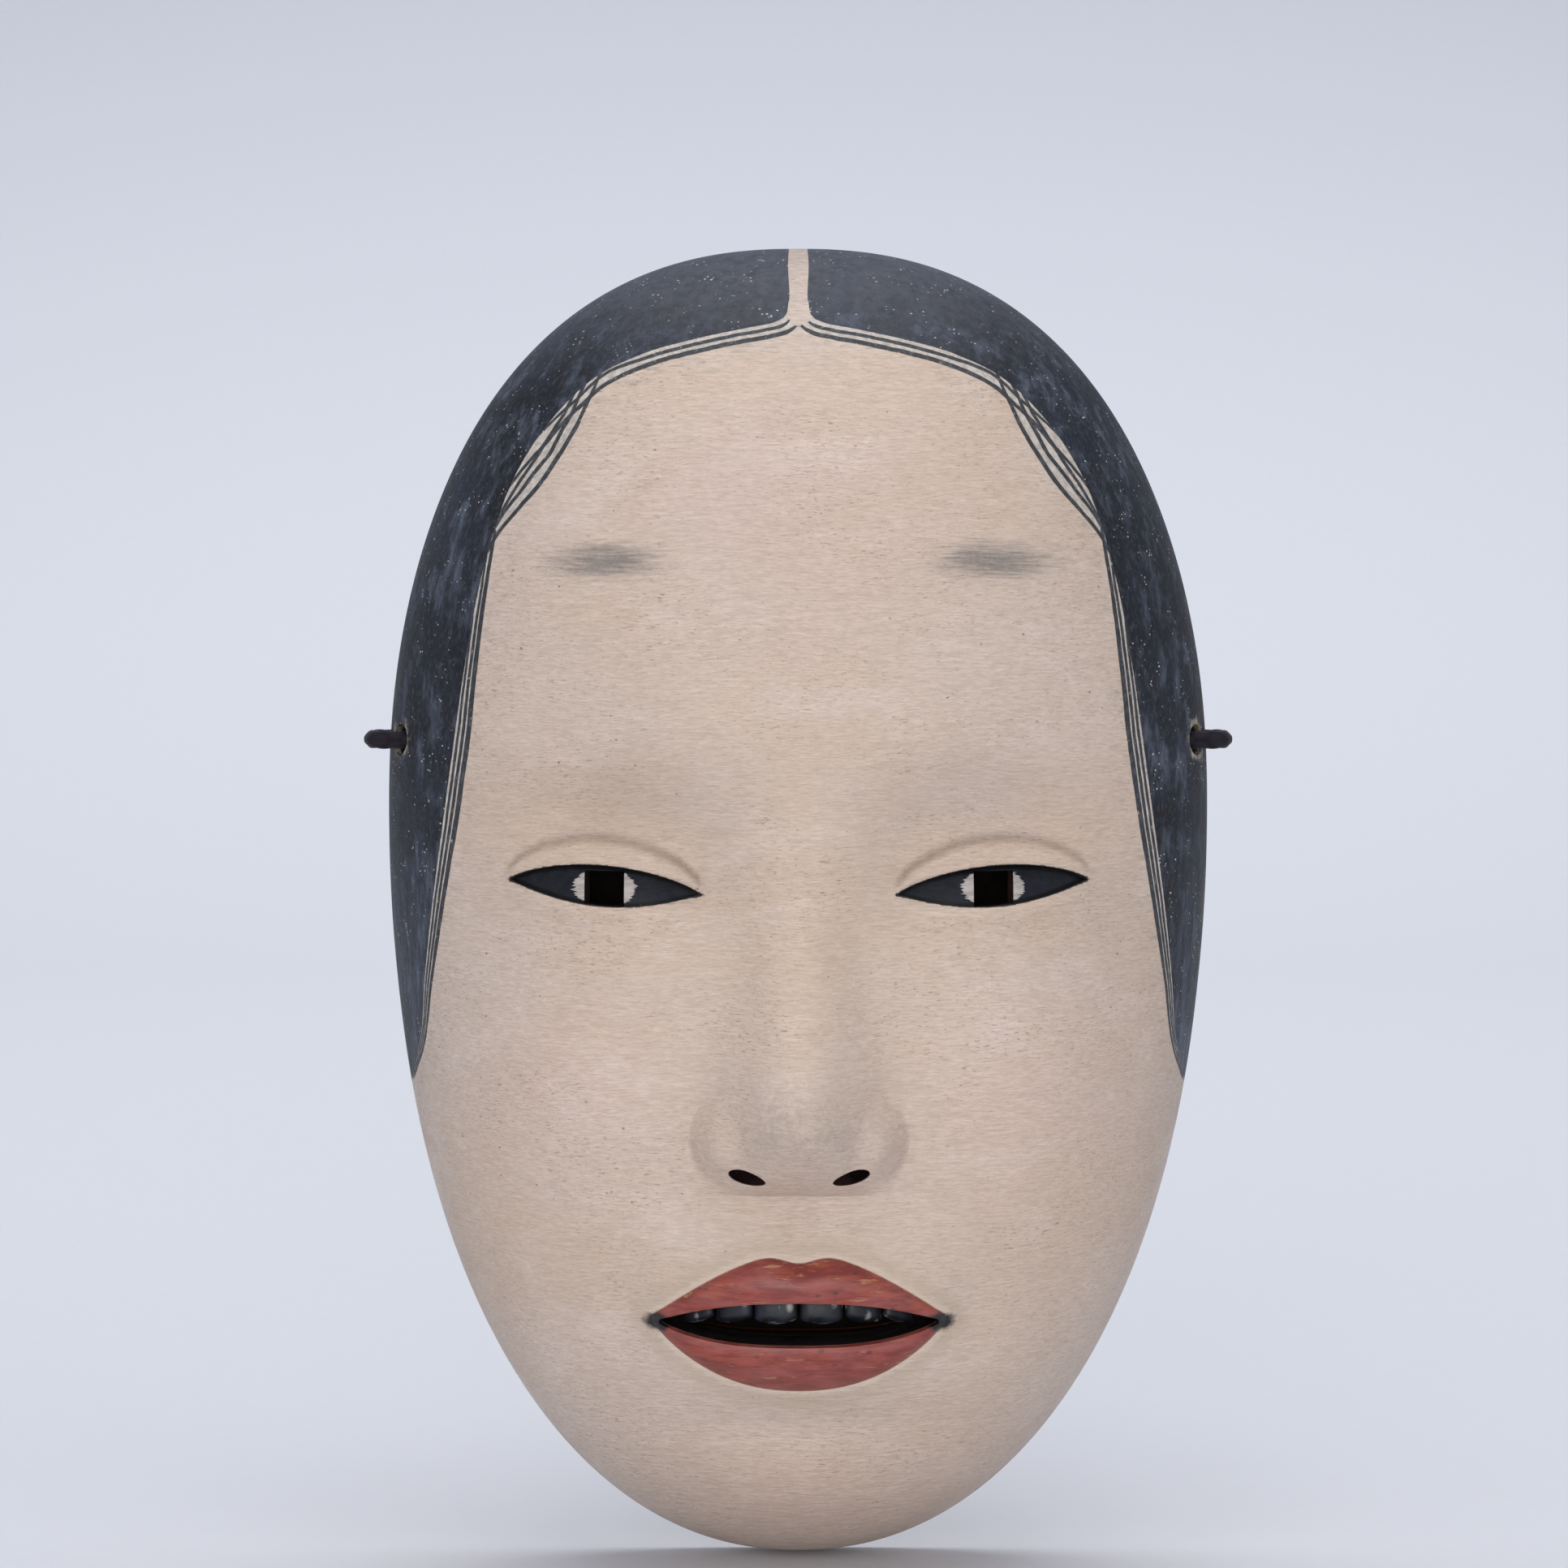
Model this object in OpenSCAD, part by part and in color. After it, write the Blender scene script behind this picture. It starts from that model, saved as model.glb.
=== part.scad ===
// Carved and painted theatre mask of a young woman, with its hanging cord.
// The mask stands upright with its face towards -Y. The flat back edge of the
// rim lies on the wall plane Y = 0. The origin is the centre of the wall peg
// that the hanging cord runs over, inside the hollow of the mask.

/* [Mask] */
// Height from the chin to the crown, in mm
mask_h = 212; // [204:1:220]
// Width across the cheeks, in mm
mask_w = 132; // [128:1:138]
// Depth of the carved dome at the bridge of the nose, in mm
dome_d = 45; // [43:1:48]
// Width of the flat rim that rests on the wall, in mm
rim_w = 7; // [6:0.5:8]

/* [Coats] */
// Thickness of the shell-white ground and of the ink that takes its place on the hair
coat_t = 0.9; // [0.7:0.1:1.1]
// Thickness of the brown lacquer that lines the hollow
lacquer_t = 0.5; // [0.4:0.1:0.7]
// Width of the bare strip of ground in the centre parting
parting_w = 3; // [2:0.5:5]

/* [Face openings] */
// Side of the square hole cut in each pupil
pupil_w = 6.2; // [5:0.2:7]
// Half the width of the open mouth
mouth_hw = 21.5; // [20:0.5:22.5]
// Height of the front teeth
tooth_h = 4.6; // [3.8:0.2:5.2]
// Diameter of each nostril
nostril_d = 4; // [3:0.5:5]

/* [Cord] */
// Diameter of the bore through each temple for the cord
bore_d = 5; // [4.5:0.25:6]
// Diameter of the braided cord
cord_d = 3; // [2.6:0.2:3]
// Diameter of the knot that closes each loop of the cord
knot_d = 6.4; // [5.6:0.2:6.6]

/* [Hidden] */

hook_z = 160;            // height of the wall peg above the chin
bore_z = 133;            // height of the cord bores above the chin
bore_y = -12;            // distance of the cord bores in front of the wall
gap = 0.02;              // fitting gap between one layer and the next
zc = 118;                // height of the widest part of the outline
kx = mask_w / 132;
kz = mask_h / 212;
kd = dome_d / 45;

// Half the number of grid columns, and the ring positions from centre to rim
front_s = [0.05, 0.10, 0.15, 0.20, 0.25, 0.30, 0.35, 0.40, 0.45, 0.50, 0.55, 0.60,
           0.65, 0.70, 0.75, 0.80, 0.85, 0.89, 0.93, 0.96, 0.98, 0.993, 1];
back_s = [0.10, 0.20, 0.30, 0.40, 0.50, 0.60, 0.70, 0.79, 0.87, 0.93, 0.97, 0.992, 1];
// Column angles: closer together across the mouth and chin
cols = concat([for (a = [-90 : 4 : -63]) a], [for (a = [-60 : 6 : 89]) a], [90]);
cols_all = concat(cols, [for (i = [len(cols) - 2 : -1 : 1]) 180 - cols[i]]);

// ---------------------------------------------------------------- helpers
function sm(a, b, x) = let (u = min(1, max(0, (x - a) / (b - a)))) u * u * (3 - 2 * u);
function g(q) = exp(-q * q);
function g2(u, v) = exp(-u * u - v * v);
function unit(v) = v / max(1e-9, norm(v));

// ---------------------------------------------------------------- outline
// Radius of the outline at the angle t, round the point (0, zc)
function rim_r(t) = let (w = sm(-0.5, 0.5, sin(t)), b = 118 + (94 - 118) * w, n = 2.15 + 0.2 * w)
    pow(pow(abs(cos(t)) / 66, n) + pow(abs(sin(t)) / b, n), -1 / n);
// How far the rim stands off the wall, so that the cord can pass behind it
function setback(z) = let (u = (z - bore_z) / 45) abs(u) < 1 ? 4.2 * (1 - u * u) * (1 - u * u) : 0;
function dome_m(t) = 2.3 + 1.1 * sm(0.3, 1, -sin(t)) + 0.4 * sm(0.3, 1, sin(t));
function dome_k(t) = 1.6 + 0.3 * sm(0.3, 1, -sin(t)) + 0.2 * sm(0.3, 1, sin(t));
function dome_h(z) = 45 + 6 * sm(0, 1, (110 - z) / 55);

// ---------------------------------------------------------------- face relief
function nose(x, z) = let (
    u = min(1, max(0, (124 - z) / 48)),
    h = z > 76 ? 16.6 * pow(u, 1.42) : 16.6 * pow(max(0, 1 - pow((76 - z) / 12, 2)), 0.8),
    w = 6.8 + 5.2 * pow(u, 1.5))
    h * exp(-pow(abs(x) / w, 2.25)) + 1.6 * g2(x / 7.5, (z - 77) / 7);
function wings(x, z) = let (q = norm([(abs(x) - 10.6) / 6.6, (z - 72.5) / 7.6])) q < 1 ? 5.2 * pow(1 - q * q, 1.4) : 0;
function relief(x, z) = let (ax = abs(x))
      2.0 * g2(x / 45, (z - 165) / 35)
    - 3.4 * g2((ax - 27) / 15, (z - 120.5) / 8.5)
    - 1.6 * g2((ax - 15.5) / 6, (z - 112) / 7)
    + 3.2 * g2((ax - 30) / 14, (z - 110.5) / 7.5)
    + 2.4 * g2((ax - 37) / 18, (z - 80) / 20)
    + 4.0 * g2(x / 26, (z - 46) / 18)
    - 2.4 * g2(x / 17, (z - 28) / 5)
    + 5.0 * g2(x / 16, (z - 13.5) / 10)
    - 1.2 * g2((ax - 26.5) / 5, (z - 44) / 7)
    + nose(x, z) + wings(x, z);
// Depth of the carved face in front of the rim plane
function depth(x, z) = let (t = atan2(z - zc, x), r = norm([x, z - zc]), s = min(1, r / rim_r(t)))
    dome_h(z) * pow(max(0, 1 - pow(s, dome_m(t))), 1 / dome_k(t))
    + setback(z) * pow(s, 8) + relief(x, z) * (1 - pow(s, 6));
// Depth of the hollow behind it, at the fraction s of the inner outline
function hollow(t, s, x, z) =
    (dome_h(z) - 8.5) * pow(max(0, 1 - pow(s, dome_m(t))), 1 / dome_k(t))
    + setback(z) * pow(s, 8)
    + (6.5 * g2(x / 9, (z - 76) / 13) + 2.6 * g2((abs(x) - 30) / 10, (z - 111) / 8)) * (1 - pow(s, 6));

// Points of the front and of the hollow, in millimetres, at angle t and fraction s
function front_pt(t, s) = let (r = rim_r(t), x = r * s * cos(t), z = zc + r * s * sin(t))
    [kx * x, -kd * depth(x, z), kz * z];
function back_pt(t, s) = let (r = rim_r(t) - rim_w, x = r * s * cos(t), z = zc + r * s * sin(t))
    [kx * x, -kd * hollow(t, s, x, z), kz * z];
// Outward normals, from neighbouring points
function front_n(t, s) = s < 0.01 ? [0, -1, 0] :
    unit(cross(front_pt(t, min(1, s + 0.004)) - front_pt(t, s - 0.004), front_pt(t + 1, s) - front_pt(t - 1, s)));
function back_n(t, s) = s < 0.01 ? [0, -1, 0] :
    unit(cross(back_pt(t, min(1, s + 0.004)) - back_pt(t, s - 0.004), back_pt(t + 1, s) - back_pt(t - 1, s)));
// The same points moved outwards along the normal; the edge ring stays in its plane
function front_off(t, s, o) = let (p = front_pt(t, s), n = front_n(t, s))
    s > 0.999 ? p + o * unit([n[0], 0, n[2]]) : p + o * n;
function back_off(t, s, o) = let (p = back_pt(t, s), n = back_n(t, s))
    s > 0.999 ? p + o * unit([n[0], 0, n[2]]) : p + o * n;

// Grids as lists of rings, the centre point first
function front_grid(o) = [for (s = front_s) [for (t = cols_all) front_off(t, s, o)]];
function back_grid(o) = [for (s = back_s) [for (t = cols_all) back_off(t, s, o)]];

// Closed shell between an outer and an inner bowl that share their columns
module bowl_shell(outer, outer_c, inner, inner_c) {
    n = len(cols_all);
    a = len(outer);
    b = len(inner);
    pts = concat([outer_c], [for (r = outer) each r], [inner_c], [for (r = inner) each r]);
    o0 = 1;
    ic = 1 + a * n;
    i0 = ic + 1;
    faces = concat(
        [for (j = [0 : n - 1]) [0, o0 + (j + 1) % n, o0 + j]],
        [for (i = [0 : a - 2], j = [0 : n - 1]) each quad2(j, o0 + i * n + j, o0 + i * n + (j + 1) % n,
                                                       o0 + (i + 1) * n + (j + 1) % n, o0 + (i + 1) * n + j)],
        [for (j = [0 : n - 1]) each quad(o0 + (a - 1) * n + j, o0 + (a - 1) * n + (j + 1) % n,
                                         i0 + (b - 1) * n + (j + 1) % n, i0 + (b - 1) * n + j)],
        [for (i = [0 : b - 2], j = [0 : n - 1]) each quad2(j, i0 + (i + 1) * n + j, i0 + (i + 1) * n + (j + 1) % n,
                                                       i0 + i * n + (j + 1) % n, i0 + i * n + j)],
        [for (j = [0 : n - 1]) [ic, i0 + j, i0 + (j + 1) % n]]);
    polyhedron(points = pts, faces = faces, convexity = 8);
}
function quad(a, b, c, d) = [[a, b, c], [a, c, d]];
// The same with the other diagonal, for the -X half, so that the facets mirror
function quad2(j, a, b, c, d) = j < len(cols) - 1 ? [[a, b, c], [a, c, d]] : [[a, b, d], [b, c, d]];

// Closed slab between a front and a back sheet on one grid of nu by nv cells
module slab(nu, nv, front, back) {
    w = nv + 1;
    m = (nu + 1) * w;
    pts = concat([for (i = [0 : nu], j = [0 : nv]) front(i / nu, j / nv)],
                 [for (i = [0 : nu], j = [0 : nv]) back(i / nu, j / nv)]);
    faces = concat(
        [for (i = [0 : nu - 1], j = [0 : nv - 1]) each quad(i * w + j, i * w + j + 1, (i + 1) * w + j + 1, (i + 1) * w + j)],
        [for (i = [0 : nu - 1], j = [0 : nv - 1]) each quad(m + (i + 1) * w + j, m + (i + 1) * w + j + 1, m + i * w + j + 1, m + i * w + j)],
        [for (i = [0 : nu - 1]) each quad((i + 1) * w, m + (i + 1) * w, m + i * w, i * w)],
        [for (i = [0 : nu - 1]) each quad(i * w + nv, m + i * w + nv, m + (i + 1) * w + nv, (i + 1) * w + nv)],
        [for (j = [0 : nv - 1]) each quad(j, m + j, m + j + 1, j + 1)],
        [for (j = [0 : nv - 1]) each quad(nu * w + j + 1, m + nu * w + j + 1, m + nu * w + j, nu * w + j)]);
    polyhedron(points = pts, faces = faces, convexity = 6);
}

// ---------------------------------------------------------------- eyes
eye_x = 30;
eye_hw = 14.8;
function eye_base(u) = 110.3 + 0.9 * u + 0.7 * u * u;
function eye_top(u) = eye_base(u) + 4.2 * pow(1 - u * u, 0.8);
function eye_low(u) = eye_base(u) - 2.0 * (1 - u * u);
// Point in the eye opening: u runs from the inner to the outer corner, v from low to top
function eye_xz(u, v, grow) = let (a = -0.98 + 1.96 * u, lo = eye_low(a) - grow, hi = eye_top(a) + grow)
    [eye_x + (eye_hw + grow) * a, lo + (hi - lo) * v];
function eye_pt(u, v, grow, off) = let (q = eye_xz(u, v, grow))
    [kx * q[0], -kd * (depth(q[0], q[1]) + off), kz * q[1]];
module eye_solid(grow, out, inn) {
    slab(16, 3, function(u, v) eye_pt(u, v, grow, out), function(u, v) eye_pt(u, v, grow, inn));
}
module pupil_cut() {
    translate([kx * eye_x - pupil_w / 2, -60, kz * 110.9 - pupil_w / 2 * 0.9])
        cube([pupil_w, 60, pupil_w * 0.9]);
}
module eye_plate() {
    difference() {
        eye_solid(0, 0.1, -1.4);
        pupil_cut();
    }
}

// ---------------------------------------------------------------- mouth
function lip_top(x) = 44.6 + 11.5 * pow(max(0, 1 - pow(abs(x) / 23.5, 1.7)), 1.05) - 1.9 * g(x / 3.4);
function lip_low(x) = 44.2 - 11 * pow(max(0, 1 - pow(abs(x) / 22.5, 2.2)), 0.9);
function slot_top(x) = 44.6 + 3.6 * max(0, 1 - pow(abs(x) / 21.5, 2.4));
function slot_low(x) = 44.0 - 3.0 * max(0, 1 - pow(abs(x) / 21.5, 3));
// Widths of the six upper teeth, from the wearer's right to left
tooth_x = [-18.2, -13, -7, 0, 7, 13, 18.2];
km = mouth_hw / 21.5;
module mouth_cut() {
    xs = [-21.4, -20, for (x = tooth_x) x, 20, 21.4];
    rotate([90, 0, 0]) linear_extrude(80) polygon(concat(
        [for (x = xs) [kx * km * x, kz * slot_top(x)]],
        [for (i = [len(xs) - 1 : -1 : 0]) [kx * km * xs[i], kz * slot_low(xs[i])]]));
}
// Lips: u runs across the mouth, v from the slot to the outer edge of the lip
function lip_relief(v, h) = h * pow(max(0, sin(180 * min(1, 0.18 + 0.82 * v))), 0.7);
function ulip_pt(u, v, grow, lift, off) = let (
    a = -1 + 2 * u, x = 21.9 * a,
    lo = slot_top(x / km) - grow * 2, hi = max(lo + 0.25, lip_top(x)) + grow, z = lo + (hi - lo) * v)
    [kx * (x + grow * a), -kd * (depth(x, z) + off + lift * lip_relief(v, 2.2) * (1 - 0.8 * a * a)), kz * z];
function llip_pt(u, v, grow, lift, off) = let (
    a = -1 + 2 * u, x = 21.4 * a,
    lo = slot_low(x / km) + grow * 2, hi = min(lo - 0.25, lip_low(x)) - grow, z = lo + (hi - lo) * v)
    [kx * (x + grow * a), -kd * (depth(x, z) + off + lift * lip_relief(v, 2.6) * (1 - 0.8 * a * a)), kz * z];
module ulip_solid(grow, lift, out, inn) {
    slab(28, 5, function(u, v) ulip_pt(u, v, grow, lift, out), function(u, v) ulip_pt(u, v, grow, 0, inn));
}
module llip_solid(grow, lift, out, inn) {
    mirror([0, 0, 1]) slab(28, 5, function(u, v) let (p = llip_pt(u, v, grow, lift, out)) [p[0], p[1], -p[2]],
         function(u, v) let (p = llip_pt(u, v, grow, 0, inn)) [p[0], p[1], -p[2]]);
}
// The whole mouth as one opening in the ground coat: the outline of both lips
module lips_cut() {
    xs = [for (i = [-20 : 20]) 1.115 * i];
    rotate([90, 0, 0]) linear_extrude(80) polygon(concat(
        [for (x = xs) [kx * x, kz * (max(lip_top(x), 45.2) + gap)]],
        [for (i = [len(xs) - 1 : -1 : 0]) [kx * xs[i], kz * (min(lip_low(xs[i]), 43.6) - gap)]]));
}
module lip_cutters() {
    ulip_solid(gap, 0, 6, -1.5);
    llip_solid(gap, 0, 6, -1.5);
}

// ---------------------------------------------------------------- hair
// Inner edge of the hair on the +X side, from the parting down to the jaw
hair_edge = [[2.3, 199.6], [4.4, 198.6], [9, 197.7], [16, 196.2], [24, 193.3], [32, 188.8],
             [39, 182.2], [44.3, 174.3], [47.8, 165.5], [50.2, 156], [52.4, 144], [54.2, 132],
             [56.1, 119], [58, 106], [59.3, 95], [60, 86], [60.4, 78]];
// Outline of the hair on the +X side, seen from the front
hair_poly = concat([[parting_w / 2 / kx, 260], [parting_w / 2 / kx, 200.9]], hair_edge,
                   [[64, 74], [100, 74], [100, 260]]);
module hair_prism() {
    rotate([90, 0, 0]) linear_extrude(90) polygon([for (p = hair_poly) [kx * p[0], kz * p[1]]]);
}

// ---------------------------------------------------------------- shared cuts
module side_bore() {
    translate([0, bore_y, kz * bore_z]) rotate([0, 90, 0]) cylinder(d = bore_d, h = 100, $fn = 48);
}
module nostril() {
    translate([kx * 7.6, -kd * 60, kz * 62]) rotate([-38, 0, 0])
        cylinder(d = nostril_d, h = 16, $fn = 32);
}
module both() {
    children();
    mirror([1, 0, 0]) children();
}

// ---------------------------------------------------------------- cord
// Centre line of a loop, seen from above: through the bore, round the rim and back
loop_xy = [[51.9, -11.3], [53.2, -11.9], [55, -12], [58, -12], [62.5, -12], [65.6, -12],
           [67.6, -11.2], [68.8, -9.4], [69.1, -7], [68.8, -4.8], [67.5, -3.1], [65.4, -2.45],
           [62.5, -2.4], [59, -2.4], [55.5, -2.5], [53.4, -3], [52, -3.9]];
knot_c = [50.8, -7.6, 133];
// Route of the hanging cord from the right knot over the wall peg, half of it
span_half = [[47.9, -7.5, 134.6], [42, -7.4, 138.3], [35, -7.2, 143.4], [28, -7, 148.5],
             [21, -6.7, 153.6], [14, -6.4, 158.8], [8.5, -6.1, 163.2], [5, -6, 166], [2.6, -6, 167.4], [0, -6, 168]];
span = concat([for (p = span_half) p], [for (i = [len(span_half) - 2 : -1 : 0]) [-span_half[i][0], span_half[i][1], span_half[i][2]]]);
function place(p) = [kx * p[0] + 0, p[1], p[2] + kz * bore_z - bore_z];

// Round tube along a route that lies close to a plane with the normal b
module tube(route, d, b, sides = 8) {
    n = len(route);
    rings = [for (i = [0 : n - 1]) let (
        t = unit(route[min(n - 1, i + 1)] - route[max(0, i - 1)]),
        u = unit(cross(b, t)), v = cross(t, u))
        [for (k = [0 : sides - 1]) route[i] + d / 2 * (cos(360 * k / sides) * u + sin(360 * k / sides) * v)]];
    polyhedron(points = [for (r = rings) each r], faces = concat(
        [[for (k = [sides - 1 : -1 : 0]) k]],
        [for (i = [0 : n - 2], k = [0 : sides - 1]) each quad(i * sides + k, i * sides + (k + 1) % sides,
                                                      (i + 1) * sides + (k + 1) % sides, (i + 1) * sides + k)],
        [[for (k = [0 : sides - 1]) (n - 1) * sides + k]]), convexity = 6);
}
module loop() {
    tube([for (p = loop_xy) place([p[0], p[1], bore_z])], cord_d, [0, 0, 1]);
}
module knot() {
    translate(place(knot_c)) sphere(d = knot_d, $fn = 32);
}

// ---------------------------------------------------------------- nodes
module to_frame() { translate([0, 0, -kz * hook_z]) children(); }

module mask_core() color([0.80, 0.66, 0.46]) to_frame() difference() {
    bowl_shell(front_grid(0), front_off(0, 0, 0), back_grid(0), back_off(0, 0, 0));
    both() eye_solid(gap, 6, -1.42);
    both() pupil_cut();
    both() side_bore();
    both() nostril();
    mouth_cut();
    lip_cutters();
}

module coat_shell() {
    bowl_shell(front_grid(coat_t), front_off(0, 0, coat_t), front_grid(gap), front_off(0, 0, gap));
}

module gofun_coat() color([0.87, 0.80, 0.73]) to_frame() difference() {
    coat_shell();
    both() hair_prism();
    both() eye_solid(gap, 6, -4);
    both() nostril();
    lips_cut();
}

module hair_coat() color([0.13, 0.15, 0.20]) to_frame() intersection() {
    difference() {
        coat_shell();
        side_bore();
    }
    hair_prism();
}
module hair_coat_left() { hair_coat(); }
module hair_coat_right() { mirror([1, 0, 0]) hair_coat(); }

module upper_lip_coat() color([0.62, 0.22, 0.20]) to_frame() ulip_solid(0, 1, coat_t, -1.45);
module lower_lip_coat() color([0.62, 0.22, 0.20]) to_frame() llip_solid(0, 1, coat_t, -1.45);

module eye_left() color([0.10, 0.12, 0.18]) to_frame() eye_plate();
module eye_right() color([0.10, 0.12, 0.18]) to_frame() mirror([1, 0, 0]) eye_plate();

// One tooth between x0 and x1 on the front arch, its top against the mouth slot
module tooth(x0, x1) {
    a = x0 + 0.1;
    b = x1 - 0.1;
    h = tooth_h - 0.02 * pow((x0 + x1) / 2, 2) * 0.3;
    r = 1.1;
    d0 = 43.5 - 0.016 * pow((x0 + x1) / 2, 2);
    tilt = (x0 + x1) * 0.95;
    function top(x) = slot_top(x0) + (slot_top(x1) - slot_top(x0)) * (x - x0) / (x1 - x0) - gap;
    intersection() {
        rotate([90, 0, 0]) linear_extrude(80) polygon([
            [kx * km * a, kz * top(a)], [kx * km * b, kz * top(b)],
            [kx * km * b, kz * top(b) - h + r], [kx * km * b - 0.35 * r, kz * top(b) - h + 0.3 * r], [kx * km * b - r, kz * top(b) - h],
            [kx * km * a + r, kz * top(a) - h], [kx * km * a + 0.35 * r, kz * top(a) - h + 0.3 * r], [kx * km * a, kz * top(a) - h + r]]);
        translate([kx * km * (x0 + x1) / 2, -kd * d0, 0]) rotate([0, 0, tilt])
            linear_extrude(80) intersection() {
                translate([0, 3]) circle(r = 6.2, $fn = 48);
                translate([-6, -4]) square([12, 4]);
            }
    }
}
module upper_teeth() color([0.07, 0.08, 0.11]) to_frame()
    for (i = [0 : 5]) tooth(tooth_x[i], tooth_x[i + 1]);

module back_lacquer() color([0.20, 0.07, 0.05]) to_frame() difference() {
    bowl_shell(back_grid(-gap), back_off(0, 0, -gap), back_grid(-lacquer_t), back_off(0, 0, -lacquer_t));
    both() pupil_cut();
    both() side_bore();
    mouth_cut();
}

module hanging_cord() color([0.10, 0.09, 0.12]) to_frame()
    tube([for (p = span) place(p)], cord_d, [0, 1, 0]);
module cord_loop_left() color([0.10, 0.09, 0.12]) to_frame() loop();
module cord_loop_right() color([0.10, 0.09, 0.12]) to_frame() mirror([1, 0, 0]) loop();
module cord_knot_left() color([0.10, 0.09, 0.12]) to_frame() knot();
module cord_knot_right() color([0.10, 0.09, 0.12]) to_frame() mirror([1, 0, 0]) knot();

mask_core();
gofun_coat();
hair_coat_left();
hair_coat_right();
upper_lip_coat();
lower_lip_coat();
eye_left();
eye_right();
upper_teeth();
back_lacquer();
hanging_cord();
cord_loop_left();
cord_loop_right();
cord_knot_left();
cord_knot_right();
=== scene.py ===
import math
import bpy
import numpy as np
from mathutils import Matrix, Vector, kdtree
from mathutils.geometry import delaunay_2d_cdt


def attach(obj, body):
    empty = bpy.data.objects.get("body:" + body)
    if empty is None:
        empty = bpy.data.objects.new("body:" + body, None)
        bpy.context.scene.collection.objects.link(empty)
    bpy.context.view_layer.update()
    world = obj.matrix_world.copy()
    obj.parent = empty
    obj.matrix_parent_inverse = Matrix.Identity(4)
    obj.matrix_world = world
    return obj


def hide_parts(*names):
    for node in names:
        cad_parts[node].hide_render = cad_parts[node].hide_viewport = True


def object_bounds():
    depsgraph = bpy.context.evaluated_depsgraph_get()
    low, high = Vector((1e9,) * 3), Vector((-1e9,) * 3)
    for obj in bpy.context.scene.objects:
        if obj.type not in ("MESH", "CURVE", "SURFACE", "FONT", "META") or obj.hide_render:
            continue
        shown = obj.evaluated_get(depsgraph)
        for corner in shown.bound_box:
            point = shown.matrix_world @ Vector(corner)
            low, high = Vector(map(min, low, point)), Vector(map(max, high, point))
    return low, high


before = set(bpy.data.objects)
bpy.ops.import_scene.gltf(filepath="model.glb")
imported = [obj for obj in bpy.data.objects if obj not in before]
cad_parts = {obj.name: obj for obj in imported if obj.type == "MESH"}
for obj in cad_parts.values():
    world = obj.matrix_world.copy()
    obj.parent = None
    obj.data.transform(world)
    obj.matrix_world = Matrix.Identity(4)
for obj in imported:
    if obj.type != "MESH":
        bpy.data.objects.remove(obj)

CAD_LO, CAD_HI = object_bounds()
MM = 0.001
HOOK = 160.0
pi = math.pi
scene = bpy.context.scene
scene.view_settings.view_transform = "Standard"


# ------------------------------------------------------------------ camera
def look_at(ob, target):
    d = Vector(target) - ob.location
    ob.rotation_mode = "QUATERNION"
    ob.rotation_quaternion = d.to_track_quat("-Z", "Y")


cam_data = bpy.data.cameras.new("camera")
cam_data.lens = 100
cam_data.sensor_width = 36
cam = bpy.data.objects.new("camera", cam_data)
scene.collection.objects.link(cam)
scene.camera = cam
mid_z = (CAD_LO[2] + CAD_HI[2]) / 2
cam_target = Vector((-0.0023, -0.022, mid_z + 0.0203))
cam_el = math.radians(2.5)
cam.location = cam_target + 0.694 * Vector((0, -math.cos(cam_el), math.sin(cam_el)))
look_at(cam, cam_target)
cam_data.clip_start = 0.01
cam_data.clip_end = 50


# ------------------------------------------------------------------ helpers
def new_mesh(name, verts, faces, mats=(), midx=None, smooth=True, sharp_edges=None):
    """Mesh object from metres, with optional material index per face."""
    me = bpy.data.meshes.new(name)
    verts = np.asarray(verts, dtype=np.float32)
    me.vertices.add(len(verts))
    me.vertices.foreach_set("co", verts.ravel())
    sizes = np.fromiter((len(f) for f in faces), dtype=np.int32, count=len(faces))
    starts = np.concatenate([[0], np.cumsum(sizes)[:-1]]).astype(np.int32)
    flat = np.concatenate([np.asarray(f, dtype=np.int32) for f in faces]) if not isinstance(faces, np.ndarray) else faces.astype(np.int32).ravel()
    me.loops.add(len(flat))
    me.loops.foreach_set("vertex_index", flat)
    me.polygons.add(len(sizes))
    me.polygons.foreach_set("loop_start", starts)
    me.polygons.foreach_set("loop_total", sizes)
    if midx is not None:
        me.polygons.foreach_set("material_index", np.asarray(midx, dtype=np.int32))
    me.polygons.foreach_set("use_smooth", np.full(len(sizes), bool(smooth)))
    me.update(calc_edges=True)
    me.validate()
    if sharp_edges is not None and len(sharp_edges):
        ne = len(me.edges)
        ev = np.zeros(ne * 2, dtype=np.int32)
        me.edges.foreach_get("vertices", ev)
        ev = np.sort(ev.reshape(-1, 2), axis=1)
        key = ev[:, 0].astype(np.int64) * (len(verts) + 1) + ev[:, 1]
        se = np.sort(np.asarray(sharp_edges), axis=1)
        skey = se[:, 0].astype(np.int64) * (len(verts) + 1) + se[:, 1]
        flag = np.isin(key, skey)
        att = me.attributes.get("sharp_edge") or me.attributes.new("sharp_edge", "BOOLEAN", "EDGE")
        att.data.foreach_set("value", flag)
    ob = bpy.data.objects.new(name, me)
    scene.collection.objects.link(ob)
    for m in mats:
        me.materials.append(m)
    return ob


def add_attr(ob, name, values):
    a = ob.data.attributes.new(name, "FLOAT", "POINT")
    a.data.foreach_set("value", np.asarray(values, dtype=np.float32))


def add_vattr(ob, name, values):
    a = ob.data.attributes.new(name, "FLOAT_VECTOR", "POINT")
    a.data.foreach_set("vector", np.asarray(values, dtype=np.float32).ravel())


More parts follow.
